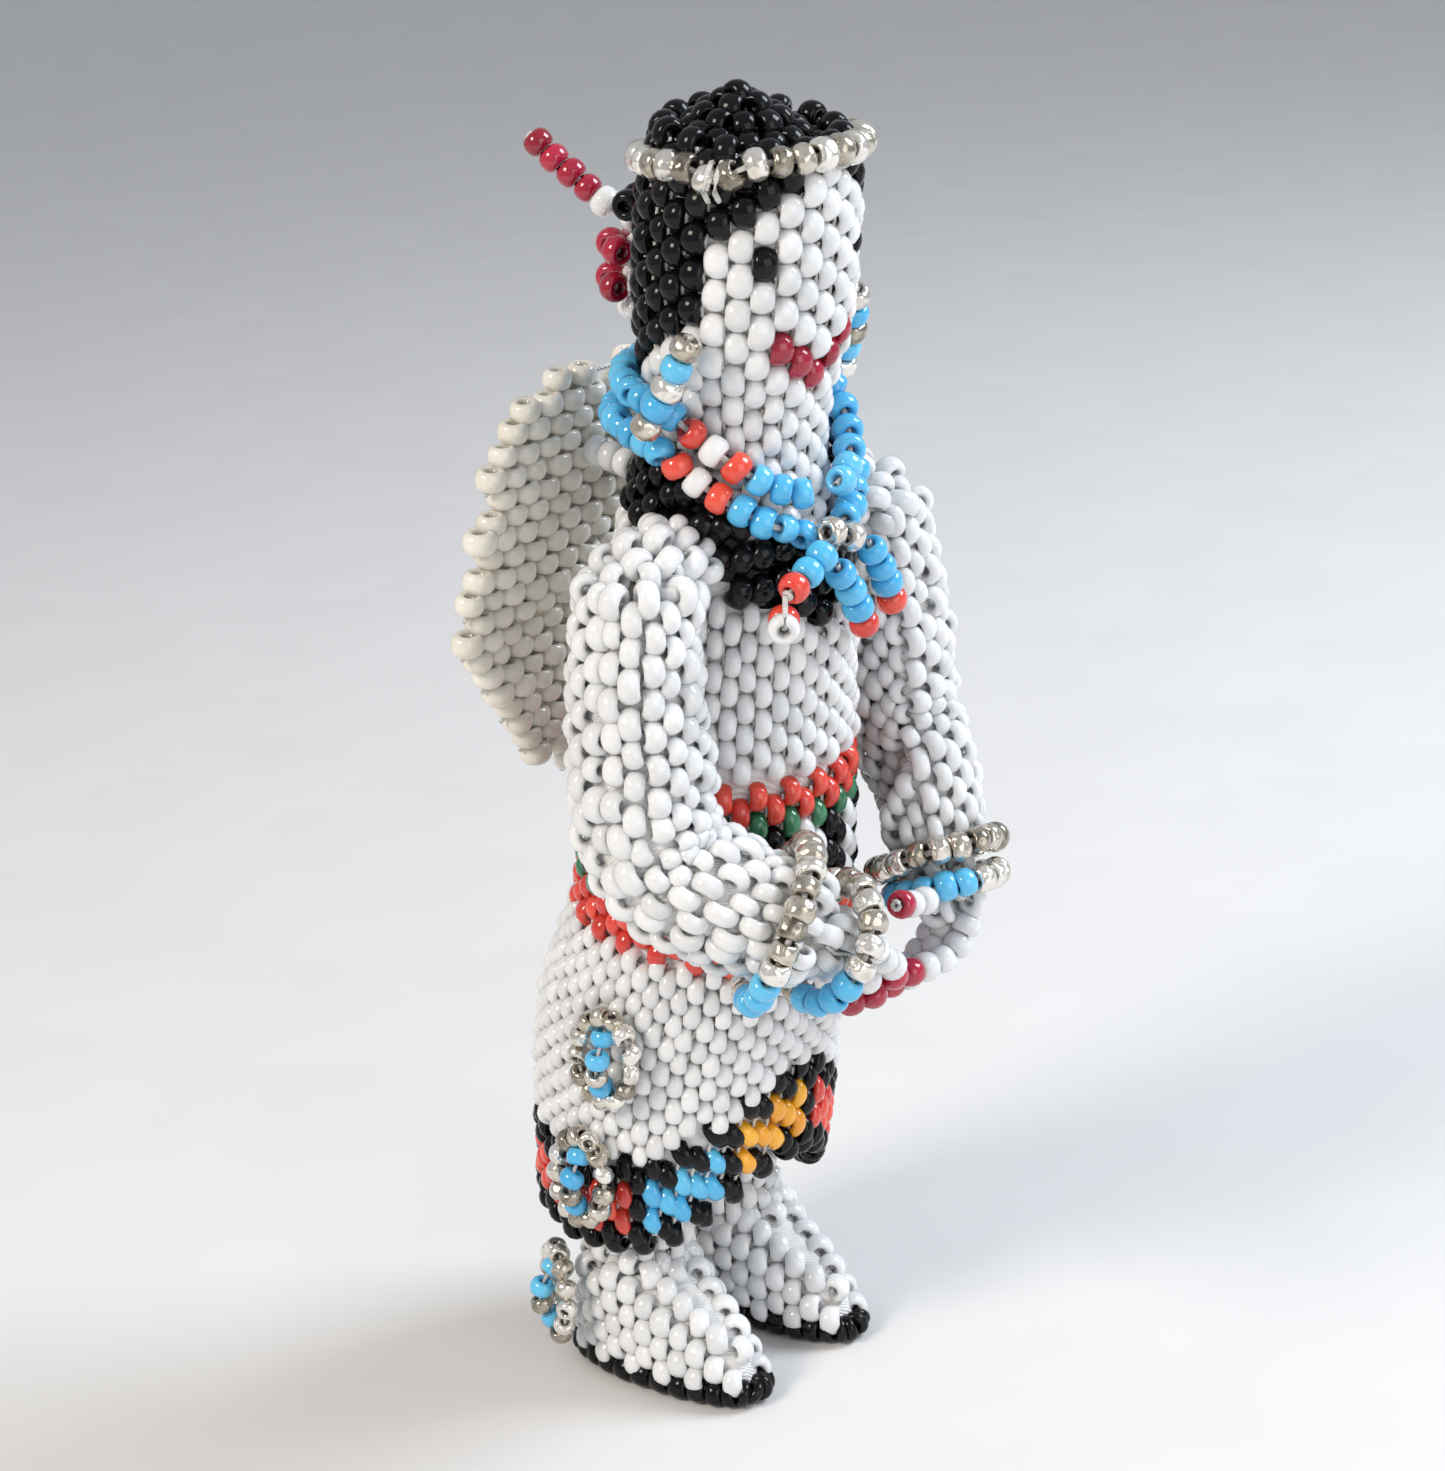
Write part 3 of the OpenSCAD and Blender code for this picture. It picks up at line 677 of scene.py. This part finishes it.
def drop(name, a, b, mats, r=1.0, tail=0.9, body=None):
    """Bead strand from a to b, on its own body or another's, with a small loop at its end."""
    a, b = np.array(a, float), np.array(b, float)
    d = unit(b - a)
    t = np.linspace(0, 1, len(mats))
    side = np.cross(d, [0.3, 0.8, 0.5])
    pts = a + (b - a) * t[:, None] + side * (np.sin(t * 3.1)[:, None] * 0.15)
    bb = Beads()
    bb.strand(pts, mats, r, BEAD * r, 0.03)
    bb.make(name + "_beads", body or name, slot="blue_bead")
    tt = Tubes(8)
    tt.add(np.concatenate([[a - d * tail], pts[:1] - d * 0.75, pts, pts[-1:] + d * 0.8]), 0.17)
    end = pts[-1] + d * 0.74
    turns = np.linspace(0, TAU, 9)[:-1]
    ring = [end + 0.28 * (np.cos(w) * side + np.sin(w) * np.cross(d, side)) for w in turns]
    tt.add(np.array(ring), 0.16, closed=True)
    tt.make(name + "_cord", body or name, name)


drop("tassel_right", (-2.6, -9.3, 72.6), (-5.3, -9.6, 71.4), ["blue"] * 2 + ["red"])
drop("tassel_middle", (-0.7, -9.4, 70.9), (1.4, -9.75, 67.1), ["blue"] * 3 + ["red"])
drop("tassel_left", (2.5, -9.1, 71.5), (4.5, -9.4, 67.7), ["blue"] * 3 + ["red"])
for s, side in ((-1, "right"), (1, "left")):
    drop("earring_" + side, (s * 7.75, -2.0, 84.9), (s * 9.0, -0.3, 79.8),
         ["silver", "blue", "silver", "blue", "silver"])
drop("hair_strand", (-0.5, 12, 89.1), (-2.1, 16.4, 92.1), ["white"] + ["darkred"] * 4, 0.97)

pen = Beads()
pen.add([-6.4, -9.9, 69.1], [-0.755, -0.656, 0], [0, 0, 1], 1.0, 1.0, 1.2, "white", 0)
pen.add([-5.43, -9.05, 69.1], [-0.755, -0.656, 0], [0, 0, 1], 1.0, 1.0, 1.3, "red", 0)
pen.make("pendant_beads", "pendant", slot="white_bead")
pc = Tubes(8)
pc.add([[-6.3, -9.75, 71.1], [-6.9, -10.35, 70.35], [-7.05, -10.5, 69.5], [-6.4, -9.9, 69.15],
         [-5.0, -8.7, 69.1]], 0.17)
pc.make("pendant_cord", "pendant", "pendant")
kn = Beads()
kn.add([[-0.95, -8.6, 73.5], [0.95, -8.6, 72.7]], [[1, 0, -0.2]] * 2, [0, -1, 0], 1.0, 1.0, 1.3, "silver")
kn.make("necklace_knot_beads", "figure", "necklace_knot", slot="silver_bead")

# ---------------------------------------------------------------- hair knot and ties
tie = Beads()
for z in (84.6, 86.8):
    a = np.radians(np.arange(-1.5, 2) * 52)
    tie.add(np.stack([2.15 * np.sin(a), 8.85 + 2.15 * np.cos(a), z + 0 * a], 1),
            np.stack([np.cos(a), -np.sin(a), 0 * a], 1), np.stack([np.sin(a), np.cos(a), 0 * a], 1),
            1.0, 1.0, 1.3, "darkred", 0.05, 0.05)
tie.make("hair_tie", "figure", "hair_tie_beads", slot="dark_red_bead")
knot = Beads()
for z, m in ((82.9, "white"), (84.7, "white"), (86.6, "white"), (88.5, "white"), (90.0, "black")):
    a = np.arange(4) * TAU / 4 + z
    knot.add(np.stack([0.75 * np.sin(a), 8.85 + 0.75 * np.cos(a), z + 0 * a], 1),
             np.stack([np.cos(a), -np.sin(a), 0 * a], 1), np.stack([np.sin(a), np.cos(a), 0.2 + 0 * a], 1),
             0.98, 0.98, 1.1, m, 0.08, 0.1)
knot.add([-2.6, 8.0, 90.2], [0.9, 0.3, 0], [0, 0, 1], 1, 1, 1.35, "black")
knot.make("hair_knot_beads", "figure", "hair_knot", slot="white_bead")

# ---------------------------------------------------------------- arms and hands
def tube_surf(pts, rad, ref):
    """Tube of varying radius round a smooth line; s is length along it."""
    P = np.asarray(pts, float)
    t = np.linspace(0, len(P) - 1, 160)
    i = np.clip(t.astype(int), 0, len(P) - 2)
    u = (t - i)[:, None]
    g = lambda arr, k: arr[np.clip(i + k, 0, len(P) - 1)]
    def cr(arr):
        p0, p1, p2, p3 = g(arr, -1), g(arr, 0), g(arr, 1), g(arr, 2)
        return 0.5 * (2 * p1 + (p2 - p0) * u + (2 * p0 - 5 * p1 + 4 * p2 - p3) * u ** 2
                      + (3 * p1 - p0 - 3 * p2 + p3) * u ** 3)
    line = cr(P)
    rr = cr(np.asarray(rad, float)[:, None])[:, 0]
    arc = np.concatenate([[0], np.cumsum(np.linalg.norm(np.diff(line, axis=0), axis=1))])
    d = unit(np.gradient(line, axis=0))
    r0 = unit(np.array(ref, float) - d[0] * np.dot(ref, d[0]))
    us = [r0]
    for k in range(1, len(d)):
        w = us[-1] - d[k] * np.dot(us[-1], d[k])
        us.append(unit(w))
    us = np.array(us)

    def surf(s, phi):
        c = np.stack([np.interp(s, arc, line[:, k]) for k in range(3)], -1)
        dd = unit(np.stack([np.interp(s, arc, d[:, k]) for k in range(3)], -1))
        uu = unit(np.stack([np.interp(s, arc, us[:, k]) for k in range(3)], -1))
        ww = np.cross(dd, uu)
        lo, hi = np.clip(-s, 0, None)[..., None], np.clip(s - arc[-1], 0, None)[..., None]
        c = c - dd * lo + dd * hi
        r = np.interp(s, arc, rr)[..., None]
        return c + r * (np.cos(phi)[..., None] * uu + np.sin(phi)[..., None] * ww), c

    surf.length = float(arc[-1])
    return surf


def keep_out(p, side):
    """Pushes arm beads away from the trunk on their inner side."""
    lim = np.where(p[:, 2] > 55, 9.55, 10.3)
    bad = (p[:, 0] * side < lim) & (p[:, 1] > -8.2) & (p[:, 2] > 44)
    q = p.copy()
    q[bad, 0] = side * lim[bad]
    return q


def bodice_r(z):
    """Radius of the bodice's bead surface at height z, from the waist to the collar."""
    return np.interp(z, [62, 66, 69, 72, 75], [8.2, 7.9, 7.5, 6.8, 5.9])


def arm(side, word, pts, rad, hand):
    """Sleeve, shoulder cap, hand and shoulder patch of one arm, along its line of points."""
    surf0 = tube_surf(pts, rad, [side, 0, 0])

    def surf(s, phi):
        p, c = surf0(s, phi)
        return keep_out(p, side), c
    b, t = Beads(), Tubes(5)
    n = int(surf0.length / 1.02)
    peyote(b, surf, 19, range(0, n + 1), surf0.length / n, 0.0, lambda c, h, p: "white",
           rb=1.05, lmax=1.4, lf=1.12, jit=0.10, tip=0.07, grow=0.06)
    # shoulder cap: beads closing the top of the sleeve
    top, c0 = surf0(np.zeros(6), np.arange(6) * TAU / 6)
    ax = unit(np.array(pts[1], float) - np.array(pts[0], float))
    m = keep_out(c0 + (top - c0) * 0.62 - ax * 1.0, side)
    b.add(m, np.cross(top - c0, ax), top - c0 - ax * 3, 1.02, 1.02, 1.35, "white", 0.12, 0.12, 0.05)
    b.add(c0[:1] - ax * 1.55, [0, 1, 0.2], -ax, 1.02, 1.02, 1.35, "white")
    # hand: a closing tube of beads past the wrist
    hs = tube_surf(hand, [1.9, 1.7, 1.3], [side, 0, 0])
    nh = max(2, int(hs.length / 1.0))
    peyote(b, hs, 10, range(0, nh + 1), hs.length / nh, 0.0, lambda c, h, p: "white",
           rb=1.0, lmax=1.4, lf=1.05, jit=0.12, tip=0.12, grow=0.05, threads=t)
    b.make("arm_beads_" + word, "arm_" + word, "arm_beadwork_" + word, "palm_" + word, slot="white_bead")
    t.make("arm_stitches_" + word, "arm_" + word)
    # shoulder patch: beads that climb from the sleeve to the collar, over the joint, baked in place and not
    # attached to a body
    ys = tube_surf([(side * 11.4, -2.1, 69.2), (side * 9.0, -1.7, 70.3), (side * 6.6, -1.1, 70.9)],
                   [3.3, 2.9, 2.3], [0, -1, 0])
    yb = Beads()
    ny = int(ys.length / 1.02)
    peyote(yb, ys, 14, range(1, ny + 1), ys.length / ny, 0.0, lambda c, h, p: "white",
           keep=lambda p, c, h: (np.hypot(p[:, 0], p[:, 1]) > bodice_r(p[:, 2]) + 0.3) & (p[:, 2] > 69.5),
           rb=1.05, lmax=1.4, lf=1.1, jit=0.10, tip=0.08, grow=0.06)
    yb.make("shoulder_beads_" + word, "arm_" + word, slot="white_bead",
            bend=[(side * 7.4, -1.1, 71.0), (side * 11.2, -2.1, 69.2)])
    liner(surf, 0.2, surf0.length - 0.1, "arm_backing_" + word, "arm_" + word, "liner", 0.125, ns=40, nphi=40)


arm(-1, "right", [(-11.0, -2.2, 70.4), (-12.0, -3.8, 61), (-12.3, -6.0, 54.2), (-10.3, -10.3, 51.9),
                  (-7.6, -14.2, 50.6)],
    [3.2, 3.65, 3.75, 3.4, 2.95], [(-7.4, -14.4, 50.4), (-6.0, -15.0, 49.5), (-4.2, -15.8, 48.3)])
arm(1, "left", [(11.0, -2, 69.8), (11.5, -3.6, 62.5), (11.5, -5.2, 56.4), (11.1, -8.0, 52.4),
                (10.2, -9.9, 49.4)],
    [3.1, 3.4, 3.5, 3.2, 2.6], [(10.2, -9.9, 49.2), (9.85, -11.3, 47.4), (9.4, -12.9, 45.3)])


def finger(bb, tt, a, m, c, n):
    """Strand of n beads on an arc from a to c that bends towards m, tipped in dark red."""
    a, m, c = (np.array(v, float) for v in (a, m, c))
    t = np.linspace(0, 1, 30)[:, None]
    line = (1 - t) ** 2 * a + 2 * t * (1 - t) * m + t ** 2 * c
    arc = np.concatenate([[0], np.cumsum(np.linalg.norm(np.diff(line, axis=0), axis=1))])
    s = np.linspace(0, arc[-1], n)
    pts = np.stack([np.interp(s, arc, line[:, k]) for k in range(3)], -1)
    bb.strand(pts, ["white"] * (n - 1) + ["darkred"], FINGER_R, 1.34, 0.05)
    tt.add(line, 0.17)
    end = pts[-1] + unit(pts[-1] - pts[-2]) * 0.72
    turns = np.linspace(0, TAU, 8)[:-1]
    loop = [end + 0.25 * np.array([math.cos(w), 0.3 * math.sin(w), math.sin(w)]) for w in turns]
    tt.add(np.array(loop), 0.15, closed=True)


FINGERS = {
    "right": (((-4.6, -16.2, 49.2), (-2.2, -16.6, 48.0), (0.2, -15.6, 44.9), 5),
              ((-4.4, -15.3, 47.7), (-3.0, -15.7, 46.6), (-1.8, -15.4, 44.3), 4),
              ((-5.2, -14.6, 46.9), (-4.2, -14.9, 46.0), (-3.4, -15.0, 44.1), 3),
              ((-4.9, -13.7, 47.6), (-2.9, -13.9, 46.2), (-1.4, -13.5, 44.2), 4)),
    "left": (((9.2, -14.3, 44.4), (8.2, -14.6, 42.2), (4.2, -13.8, 42.6), 5),
             ((9.0, -12.8, 43.6), (7.8, -13.0, 41.1), (4.2, -12.4, 41.2), 5),
             ((8.9, -11.6, 42.8), (7.6, -11.5, 40.5), (4.4, -11.2, 40.3), 5)),
}
for word, strands in FINGERS.items():
    fb, ft = Beads(), Tubes(8)
    for strand in strands:
        finger(fb, ft, *strand)
    fb.make("finger_beads_" + word, "arm_" + word, slot="white_bead")
    ft.make("finger_cords_" + word, "arm_" + word, "fingers_" + word)
drop("thumb_left", (4.9, -13.9, 47.8), (2.3, -14.1, 48.6), ["white", "white", "darkred"], FINGER_R, 0.7,
     body="arm_left")

# ---------------------------------------------------------------- bracelets
def about_y(a):
    return np.array([[math.cos(a), 0, math.sin(a)], [0, 1, 0], [-math.sin(a), 0, math.cos(a)]])


def about_z(a):
    return np.array([[math.cos(a), -math.sin(a), 0], [math.sin(a), math.cos(a), 0], [0, 0, 1]])


def facing(d):
    """Turns +Z to direction d."""
    d = unit(np.array(d, float))
    return about_z(math.atan2(d[1], d[0])) @ about_y(math.acos(d[2]))


def bracelet(name, body, p, d, r, n, blue_from=0, blues=0, slant=0, turn=0):
    """Ring of n beads round direction d at p, with a run of blue beads, tilted by slant."""
    m = facing(d) @ about_z(math.radians(turn)) @ about_y(math.radians(slant))
    a = (np.arange(n) + 0.5) * TAU / n
    loc = np.stack([np.cos(a), np.sin(a), 0 * a], 1)
    tan = np.stack([-np.sin(a), np.cos(a), 0 * a], 1)
    mats = ["blue" if (i - blue_from) % n < blues else "silver" for i in range(n)]
    b = Beads()
    b.add(np.array(p) + (m @ (loc * r).T).T, (m @ tan.T).T, (m @ loc.T).T, 0.98, 0.98, 1.34, mats,
          0.05, 0.08, 0.04)
    b.make(name + "_beads", body, slot="silver_bead")
    u = np.arange(72) * TAU / 72
    tt = Tubes(8)
    tt.add(np.array(p) + (m @ np.stack([r * np.cos(u), r * np.sin(u), 0 * u])).T, 0.2, closed=True)
    tt.make(name + "_cord", body, name)


bracelet("bracelet_inner_right", "arm_right", (-5.957, -15.032, 49.468), (3.2, -1.4, -1.9), 3.85, 17, 13, 4)
bracelet("bracelet_outer_right", "bracelet_right", (-8.617, -12.968, 50.94), (5, -8.6, -2.4), 5.1, 23, 14, 4,
         slant=12, turn=60)
bracelet("bracelet_inner_left", "arm_left", (10.0, -10.74, 48.08), (-0.8, -2.9, -3.9), 4.02, 18)
bracelet("bracelet_outer_left", "bracelet_left", (9.67, -11.96, 46.42), (-0.8, -2.9, -3.9), 3.55, 16, 8, 6,
         slant=6)

# ---------------------------------------------------------------- conchos
def concho(name, place, ground=False):
    """Oval ring of silver beads with an arched strand across it, hung at the origin of place."""
    t = np.radians((np.arange(13) + 0.5) * 360 / 13)
    oval = lambda q: np.stack([2.0 * np.sin(q), 0 * q, -3.1 + 3.1 * np.cos(q)], -1)
    bow = lambda q: np.sin(np.pi * q)
    strand = lambda q: np.stack([0.2 * bow(q), -1.25 * bow(q) - 0.1, -0.9 - 4.4 * q], -1)
    b = Beads()
    P = place(oval(t))
    D = place(oval(t + 0.03)) - place(oval(t - 0.03))
    N = place(oval(t) + [0, -1, 0]) - P
    b.add(P, D, N, 0.8, 0.8, 1.1, "silver", 0.03, 0.08, 0.05)
    b.make(name + "_ring_beads", name, slot="silver_bead", ground=ground)
    q = 0.08 + 0.28 * np.arange(4)
    P = place(strand(q))
    D = place(strand(q + 0.02)) - place(strand(q - 0.02))
    N = place(strand(q) + [0, -1, 0]) - P
    b = Beads()
    b.add(P, D, N, 0.85, 0.85, 1.12, ["blue", "blue", "silver", "blue"], 0.02, 0.04, 0.03)
    b.make(name + "_strand_beads", name, name + "_strand", slot="blue_bead", ground=ground)
    tt = Tubes(6)
    u = np.arange(48) * TAU / 48
    tt.add(place(oval(u)), 0.15, closed=True)
    u = np.linspace(-0.06, 1.06, 20)
    tt.add(place(strand(u)), 0.13)
    tt.make(name + "_cords", name, name + "_ring", ground=ground)


def on_side(cy, r, a, z, tip):
    a, tip = math.radians(a), math.radians(tip)
    def place(p):
        x, y, w = p[..., 0], p[..., 1], p[..., 2]
        y, w = y * math.cos(tip) - w * math.sin(tip), y * math.sin(tip) + w * math.cos(tip)
        return np.stack([x * math.cos(a) - y * math.sin(a) + r * math.sin(a),
                         x * math.sin(a) + y * math.cos(a) + cy - r * math.cos(a), w + z], -1)
    return place


concho("concho_waist", on_side(1.2, 11.35, -78, 39.7, 0))
concho("concho_hem", on_side(1.2, 11.35, -85, 29.8, -2))


def ankle(p):
    x, y, w = p[..., 0], p[..., 1], p[..., 2]
    t, a = math.radians(-6), math.radians(-118)
    y, w = y * math.cos(t) - w * math.sin(t), y * math.sin(t) + w * math.cos(t)
    return np.stack([x * math.cos(a) - y * math.sin(a) - 9.55,
                     x * math.sin(a) + y * math.cos(a) + 2.1, w + 9.6], -1)


concho("concho_ankle", ankle, ground=True)

# ---------------------------------------------------------------- legs, boots and soles, in the feet's frame
def sole_outline(side, phi, inset):
    """Foot outline at angle phi (0 toe, 90 deg to +X), by inset from the edge."""
    u = np.cos(phi)
    k = np.abs(np.sin(phi)) ** 0.84 * np.sign(np.sin(phi))
    w = (3.9 - inset) * (1 - 0.14 * u)
    return np.stack([side * 5.1 + w * k, -3.6 - (8.9 - inset) * u], -1)


def boot_surf(side):
    def surf(s, phi):
        z = 8.3 - s * 0.93
        t = np.clip((8.3 - z) / 7.3, 0, 1)
        top = np.stack([side * 4.9 + 3.45 * np.sin(phi), -0.9 - 3.45 * np.cos(phi)], -1)
        low = sole_outline(side, phi, 1.0)
        f = smooth(t) * 0.25 + t * 0.75
        front = np.clip(np.cos(phi), 0, 1) * 0.20 * np.sin(np.pi * t)
        xy = top * (1 - f - front)[..., None] + low * (f + front)[..., None]
        c = (np.array([side * 4.9, -0.9]) * (1 - f)[..., None] + np.array([side * 5.1, -3.6]) * f[..., None])
        return np.concatenate([xy, z[..., None]], -1), np.concatenate([c, z[..., None] - 1.5], -1)
    return surf


def leg_surf(side):
    return tube_surf([(side * 4.9, -0.9, 7.6), (side * 4.1, -1.3, 11.2), (side * 3.95, -2.4, 18),
                      (side * 3.95, -3.6, 24)], [3.3, 2.75, 2.65, 2.6], [0, -1, 0])


def boot_rings(b, bs):
    """Level rings of beads at their true spacing, down a boot; gives the places laid."""
    ph, laid = np.linspace(-np.pi, np.pi, 721), []
    for k in range(8):
        u = np.full(721, (6.55 - 0.92 * k) / 0.93)
        P, C = bs(u, ph)
        arc = np.concatenate([[0], np.cumsum(np.linalg.norm(np.diff(P, axis=0), axis=1))])
        D = unit(np.gradient(P, axis=0))
        N = np.cross(D, bs(u + 0.01, ph)[0] - bs(u - 0.01, ph)[0])
        N = N * np.sign(np.sum(N * (P - C), 1, keepdims=True))
        for half_ph in (ph < 0, ph > 0):
            own = np.flatnonzero(half_ph)
            at = arc[own[np.argmin(abs(P[own, 1] + 3.0))]]
            q = at + (np.arange(-7, 8) + 0.5 * (k % 2)) * 2.66
            q = q[(q > arc[own[0]] + 0.65) & (q < arc[own[-1]] - 0.65)]
            get = lambda arr: np.stack([np.interp(q, arc, arr[:, m]) for m in range(3)], 1)
            b.add(get(P), get(D), get(N), 1.0, 1.06, 1.42, "white", 0.05, 0.05, 0.03)
            laid.extend(get(P))
    return laid


def boot_fill(b, bs, laid):
    """Fills the toe and the heel, where the rings draw apart, wherever a bead still fits."""
    toe, heel = np.linspace(0, 1.3, 14), np.linspace(2.4, 3.8, 14)
    for u in np.linspace(0.4, 7.0, 34):
        for f in np.concatenate([toe, -toe, heel]):
            P, C = bs(np.array([u]), np.array([f]))
            if min(np.linalg.norm(np.array(laid) - P, axis=1)) < 1.62:
                continue
            D = bs(np.array([u]), np.array([f + 0.02]))[0] - P
            N = np.cross(D, bs(np.array([u + 0.02]), np.array([f]))[0] - P)
            N = N * np.sign(np.sum(N * (P - C)))
            b.add(P, D, N, 1.0, 1.04, 1.4, "white", 0.03, 0.05, 0.03)
            laid.append(P[0])


def sole(side, word):
    sb = Beads()
    for inset, n in ((1.0, 30), (2.3, 22), (3.4, 14)):
        a = (np.arange(n) + 0.5) * TAU / n
        xy = sole_outline(side, a, inset)
        x2 = sole_outline(side, a + 0.02, inset) - sole_outline(side, a - 0.02, inset)
        step = np.linalg.norm(x2, axis=1) / 0.04 * TAU / n
        sb.add(np.column_stack([xy, 0 * a + 1.0]), np.column_stack([x2, 0 * a]),
               np.column_stack([xy - [side * 5.1, -3.6], 0 * a]), 0.97, 0.97,
               np.clip(step * 1.03, 0.8, 1.7), "black", 0.02, 0.03, 0.0)
    sb.make("sole_beads_" + word, "figure", "sole_" + word, slot="black_bead", ground=True)


def leg(side, word):
    bs, b, t = boot_surf(side), Beads(), Tubes(5)
    boot_fill(b, bs, boot_rings(b, bs))
    b.make("boot_beads_" + word, "figure", "boot_" + word, slot="white_bead", ground=True)
    liner(bs, 0.0, 7.4, "boot_backing_" + word, "figure", "liner", 0.12, ns=16, nphi=64, ground=True)
    sole(side, word)
    ls = leg_surf(side)
    lb = Beads()
    peyote(lb, ls, 18, range(1, int(ls.length)), 1.0, 0.0, lambda c, h, p: "white",
           lmax=1.35, lf=1.08, jit=0.06, tip=0.06, threads=t)
    lb.make("legging_beads_" + word, "figure", "legging_" + word, slot="white_bead", ground=True)
    liner(ls, 0.3, ls.length, "legging_backing_" + word, "figure", "liner", 0.12, ns=14, nphi=40, ground=True)
    t.make("boot_stitches_" + word, "figure", ground=True)


for side, word in ((-1, "right"), (1, "left")):
    leg(side, word)

# ---------------------------------------------------------------- cape
CAPE_TOP = np.array([[0, 75.4], [1.5, 77.4], [3, 79.4], [5, 78.8], [8, 76.7], [9.7, 75.3], [10.8, 73],
                     [11.7, 70.3], [12.5, 67.8], [13.0, 64.9], [13.2, 61.7]])
CAPE_LOW = np.array([[0, 50.3], [3.1, 50.8], [7.3, 53.2], [9.8, 56.0], [11.5, 58.2], [13.2, 61.7]])
CAPE_BEND = 60.0   # radius of the cape's curve round the back, mm
cp, ct = Beads(), Tubes(5)


def rise(x):
    """How far the cape's rows climb towards its edges."""
    return 0.006 * x * x


def cape_pt(x, z):
    back = CAPE_BEND - np.sqrt(CAPE_BEND ** 2 - x * x)
    return np.stack([x, 12 - back - 0.06 * np.sin(z), z + rise(x)], -1)


for i in range(24):
    x = (np.arange(-7, 8) + (0.5 if i % 2 else 0.0)) * 2.12
    z = 50.9 + i * BEAD + 0 * x
    top = np.where(abs(x) > CAPE_TOP[-1, 0], 0, np.interp(abs(x), *CAPE_TOP.T))
    low = np.interp(abs(x), *CAPE_LOW.T)
    k = (z + rise(x) > low) & (z + rise(x) < top)
    if k.any():
        P = cape_pt(x[k], z[k])
        # the cape's white beads take the copy of the white material with painted warm shade
        cp.add(P, [0, 0, 1], np.stack([-x[k] / CAPE_BEND, 1 + 0 * x[k], 0 * x[k]], 1), 1.0, 1.07, 1.4,
               "cream", 0.08, 0.06, 0.05)
        for p in P:
            ct.add([p + [0, 0, -0.7], p + [0.5, 0.1, -1.1] if i % 2 else p + [-0.5, 0.1, -1.1]], 0.15)
        if len(P) > 1:
            ct.add(P, 0.15)
cp.make("cape_beads", "cape", "cape_beadwork", slot="white_bead")
ct.make("cape_cords", "cape")
tabs, tt = Beads(), Tubes(6)
for s in (-1, 1):
    y = np.linspace(7.7, 10.3, 3)
    tabs.add(np.column_stack([np.full(3, s * 2.1), y, np.full(3, 73.4)]), [0, 1, 0.05], [0, 0, 1],
             1.0, 1.0, 1.28, "white", 0.03, 0.04)
    tt.add(np.array([[s * 2.1, 7.0, 73.35], [s * 2.1, 9, 73.4], [s * 2.1, 10.95, 73.4]]), 0.17)
tabs.make("cape_tab_beads", "figure", "cape_tabs", slot="white_bead")
tt.make("cape_tab_cords", "figure")
th.make("body_stitches", "figure")

# cores keep their CAD solids, in the cloth material
for n in ("torso_core", "head_core", "arm_core_right", "arm_core_left", "leg_core_right", "leg_core_left"):
    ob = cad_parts[n]
    ob.data.materials.clear()
    ob.data.materials.append(MAT["core"])

# ---------------------------------------------------------------- stage
def floor():
    s = Shader("stage_floor")
    shade = s.ramp(s.noise(60.0, 2.0), (0.0, (0.70, 0.69, 0.68)), (1.0, (0.76, 0.75, 0.74)))
    s.feed(s.bsdf, {"Base Color": shade, "Roughness": 0.85})
    corners = np.array([[-2, -2, 0], [2, -2, 0], [2, 2, 0], [-2, 2, 0]], float)
    new_object("stage_floor", corners, np.array([[0, 1, 2, 3]]), [s.material], [0], smooth_on=False)


floor()
world = bpy.data.worlds.new("studio")
bpy.context.scene.world = world
world.use_nodes = True
bg = world.node_tree.nodes["Background"]
bg.inputs["Color"].default_value = (0.82, 0.86, 0.92, 1)
bg.inputs["Strength"].default_value = 0.52


def area(name, loc, aim, size, power, colour):
    li = bpy.data.lights.new(name, "AREA")
    li.size = size
    li.energy = power
    li.color = colour
    ob = bpy.data.objects.new(name, li)
    bpy.context.scene.collection.objects.link(ob)
    ob.location = loc
    ob.rotation_euler = (Vector(aim) - Vector(loc)).to_track_quat("-Z", "Y").to_euler()


area("window", (0.28, -0.22, 0.34), (0, 0, 0.05), 0.22, 1.9, (0.84, 0.91, 1.0))
area("lamp", (-0.34, 0.05, 0.30), (0, 0, 0.05), 0.14, 1.1, (1.0, 0.90, 0.77))
area("fill", (-0.10, -0.40, 0.16), (0, 0, 0.05), 0.30, 0.45, (1.0, 0.98, 0.95))
bpy.context.scene.view_settings.view_transform = "Standard"

bpy.context.view_layer.update()
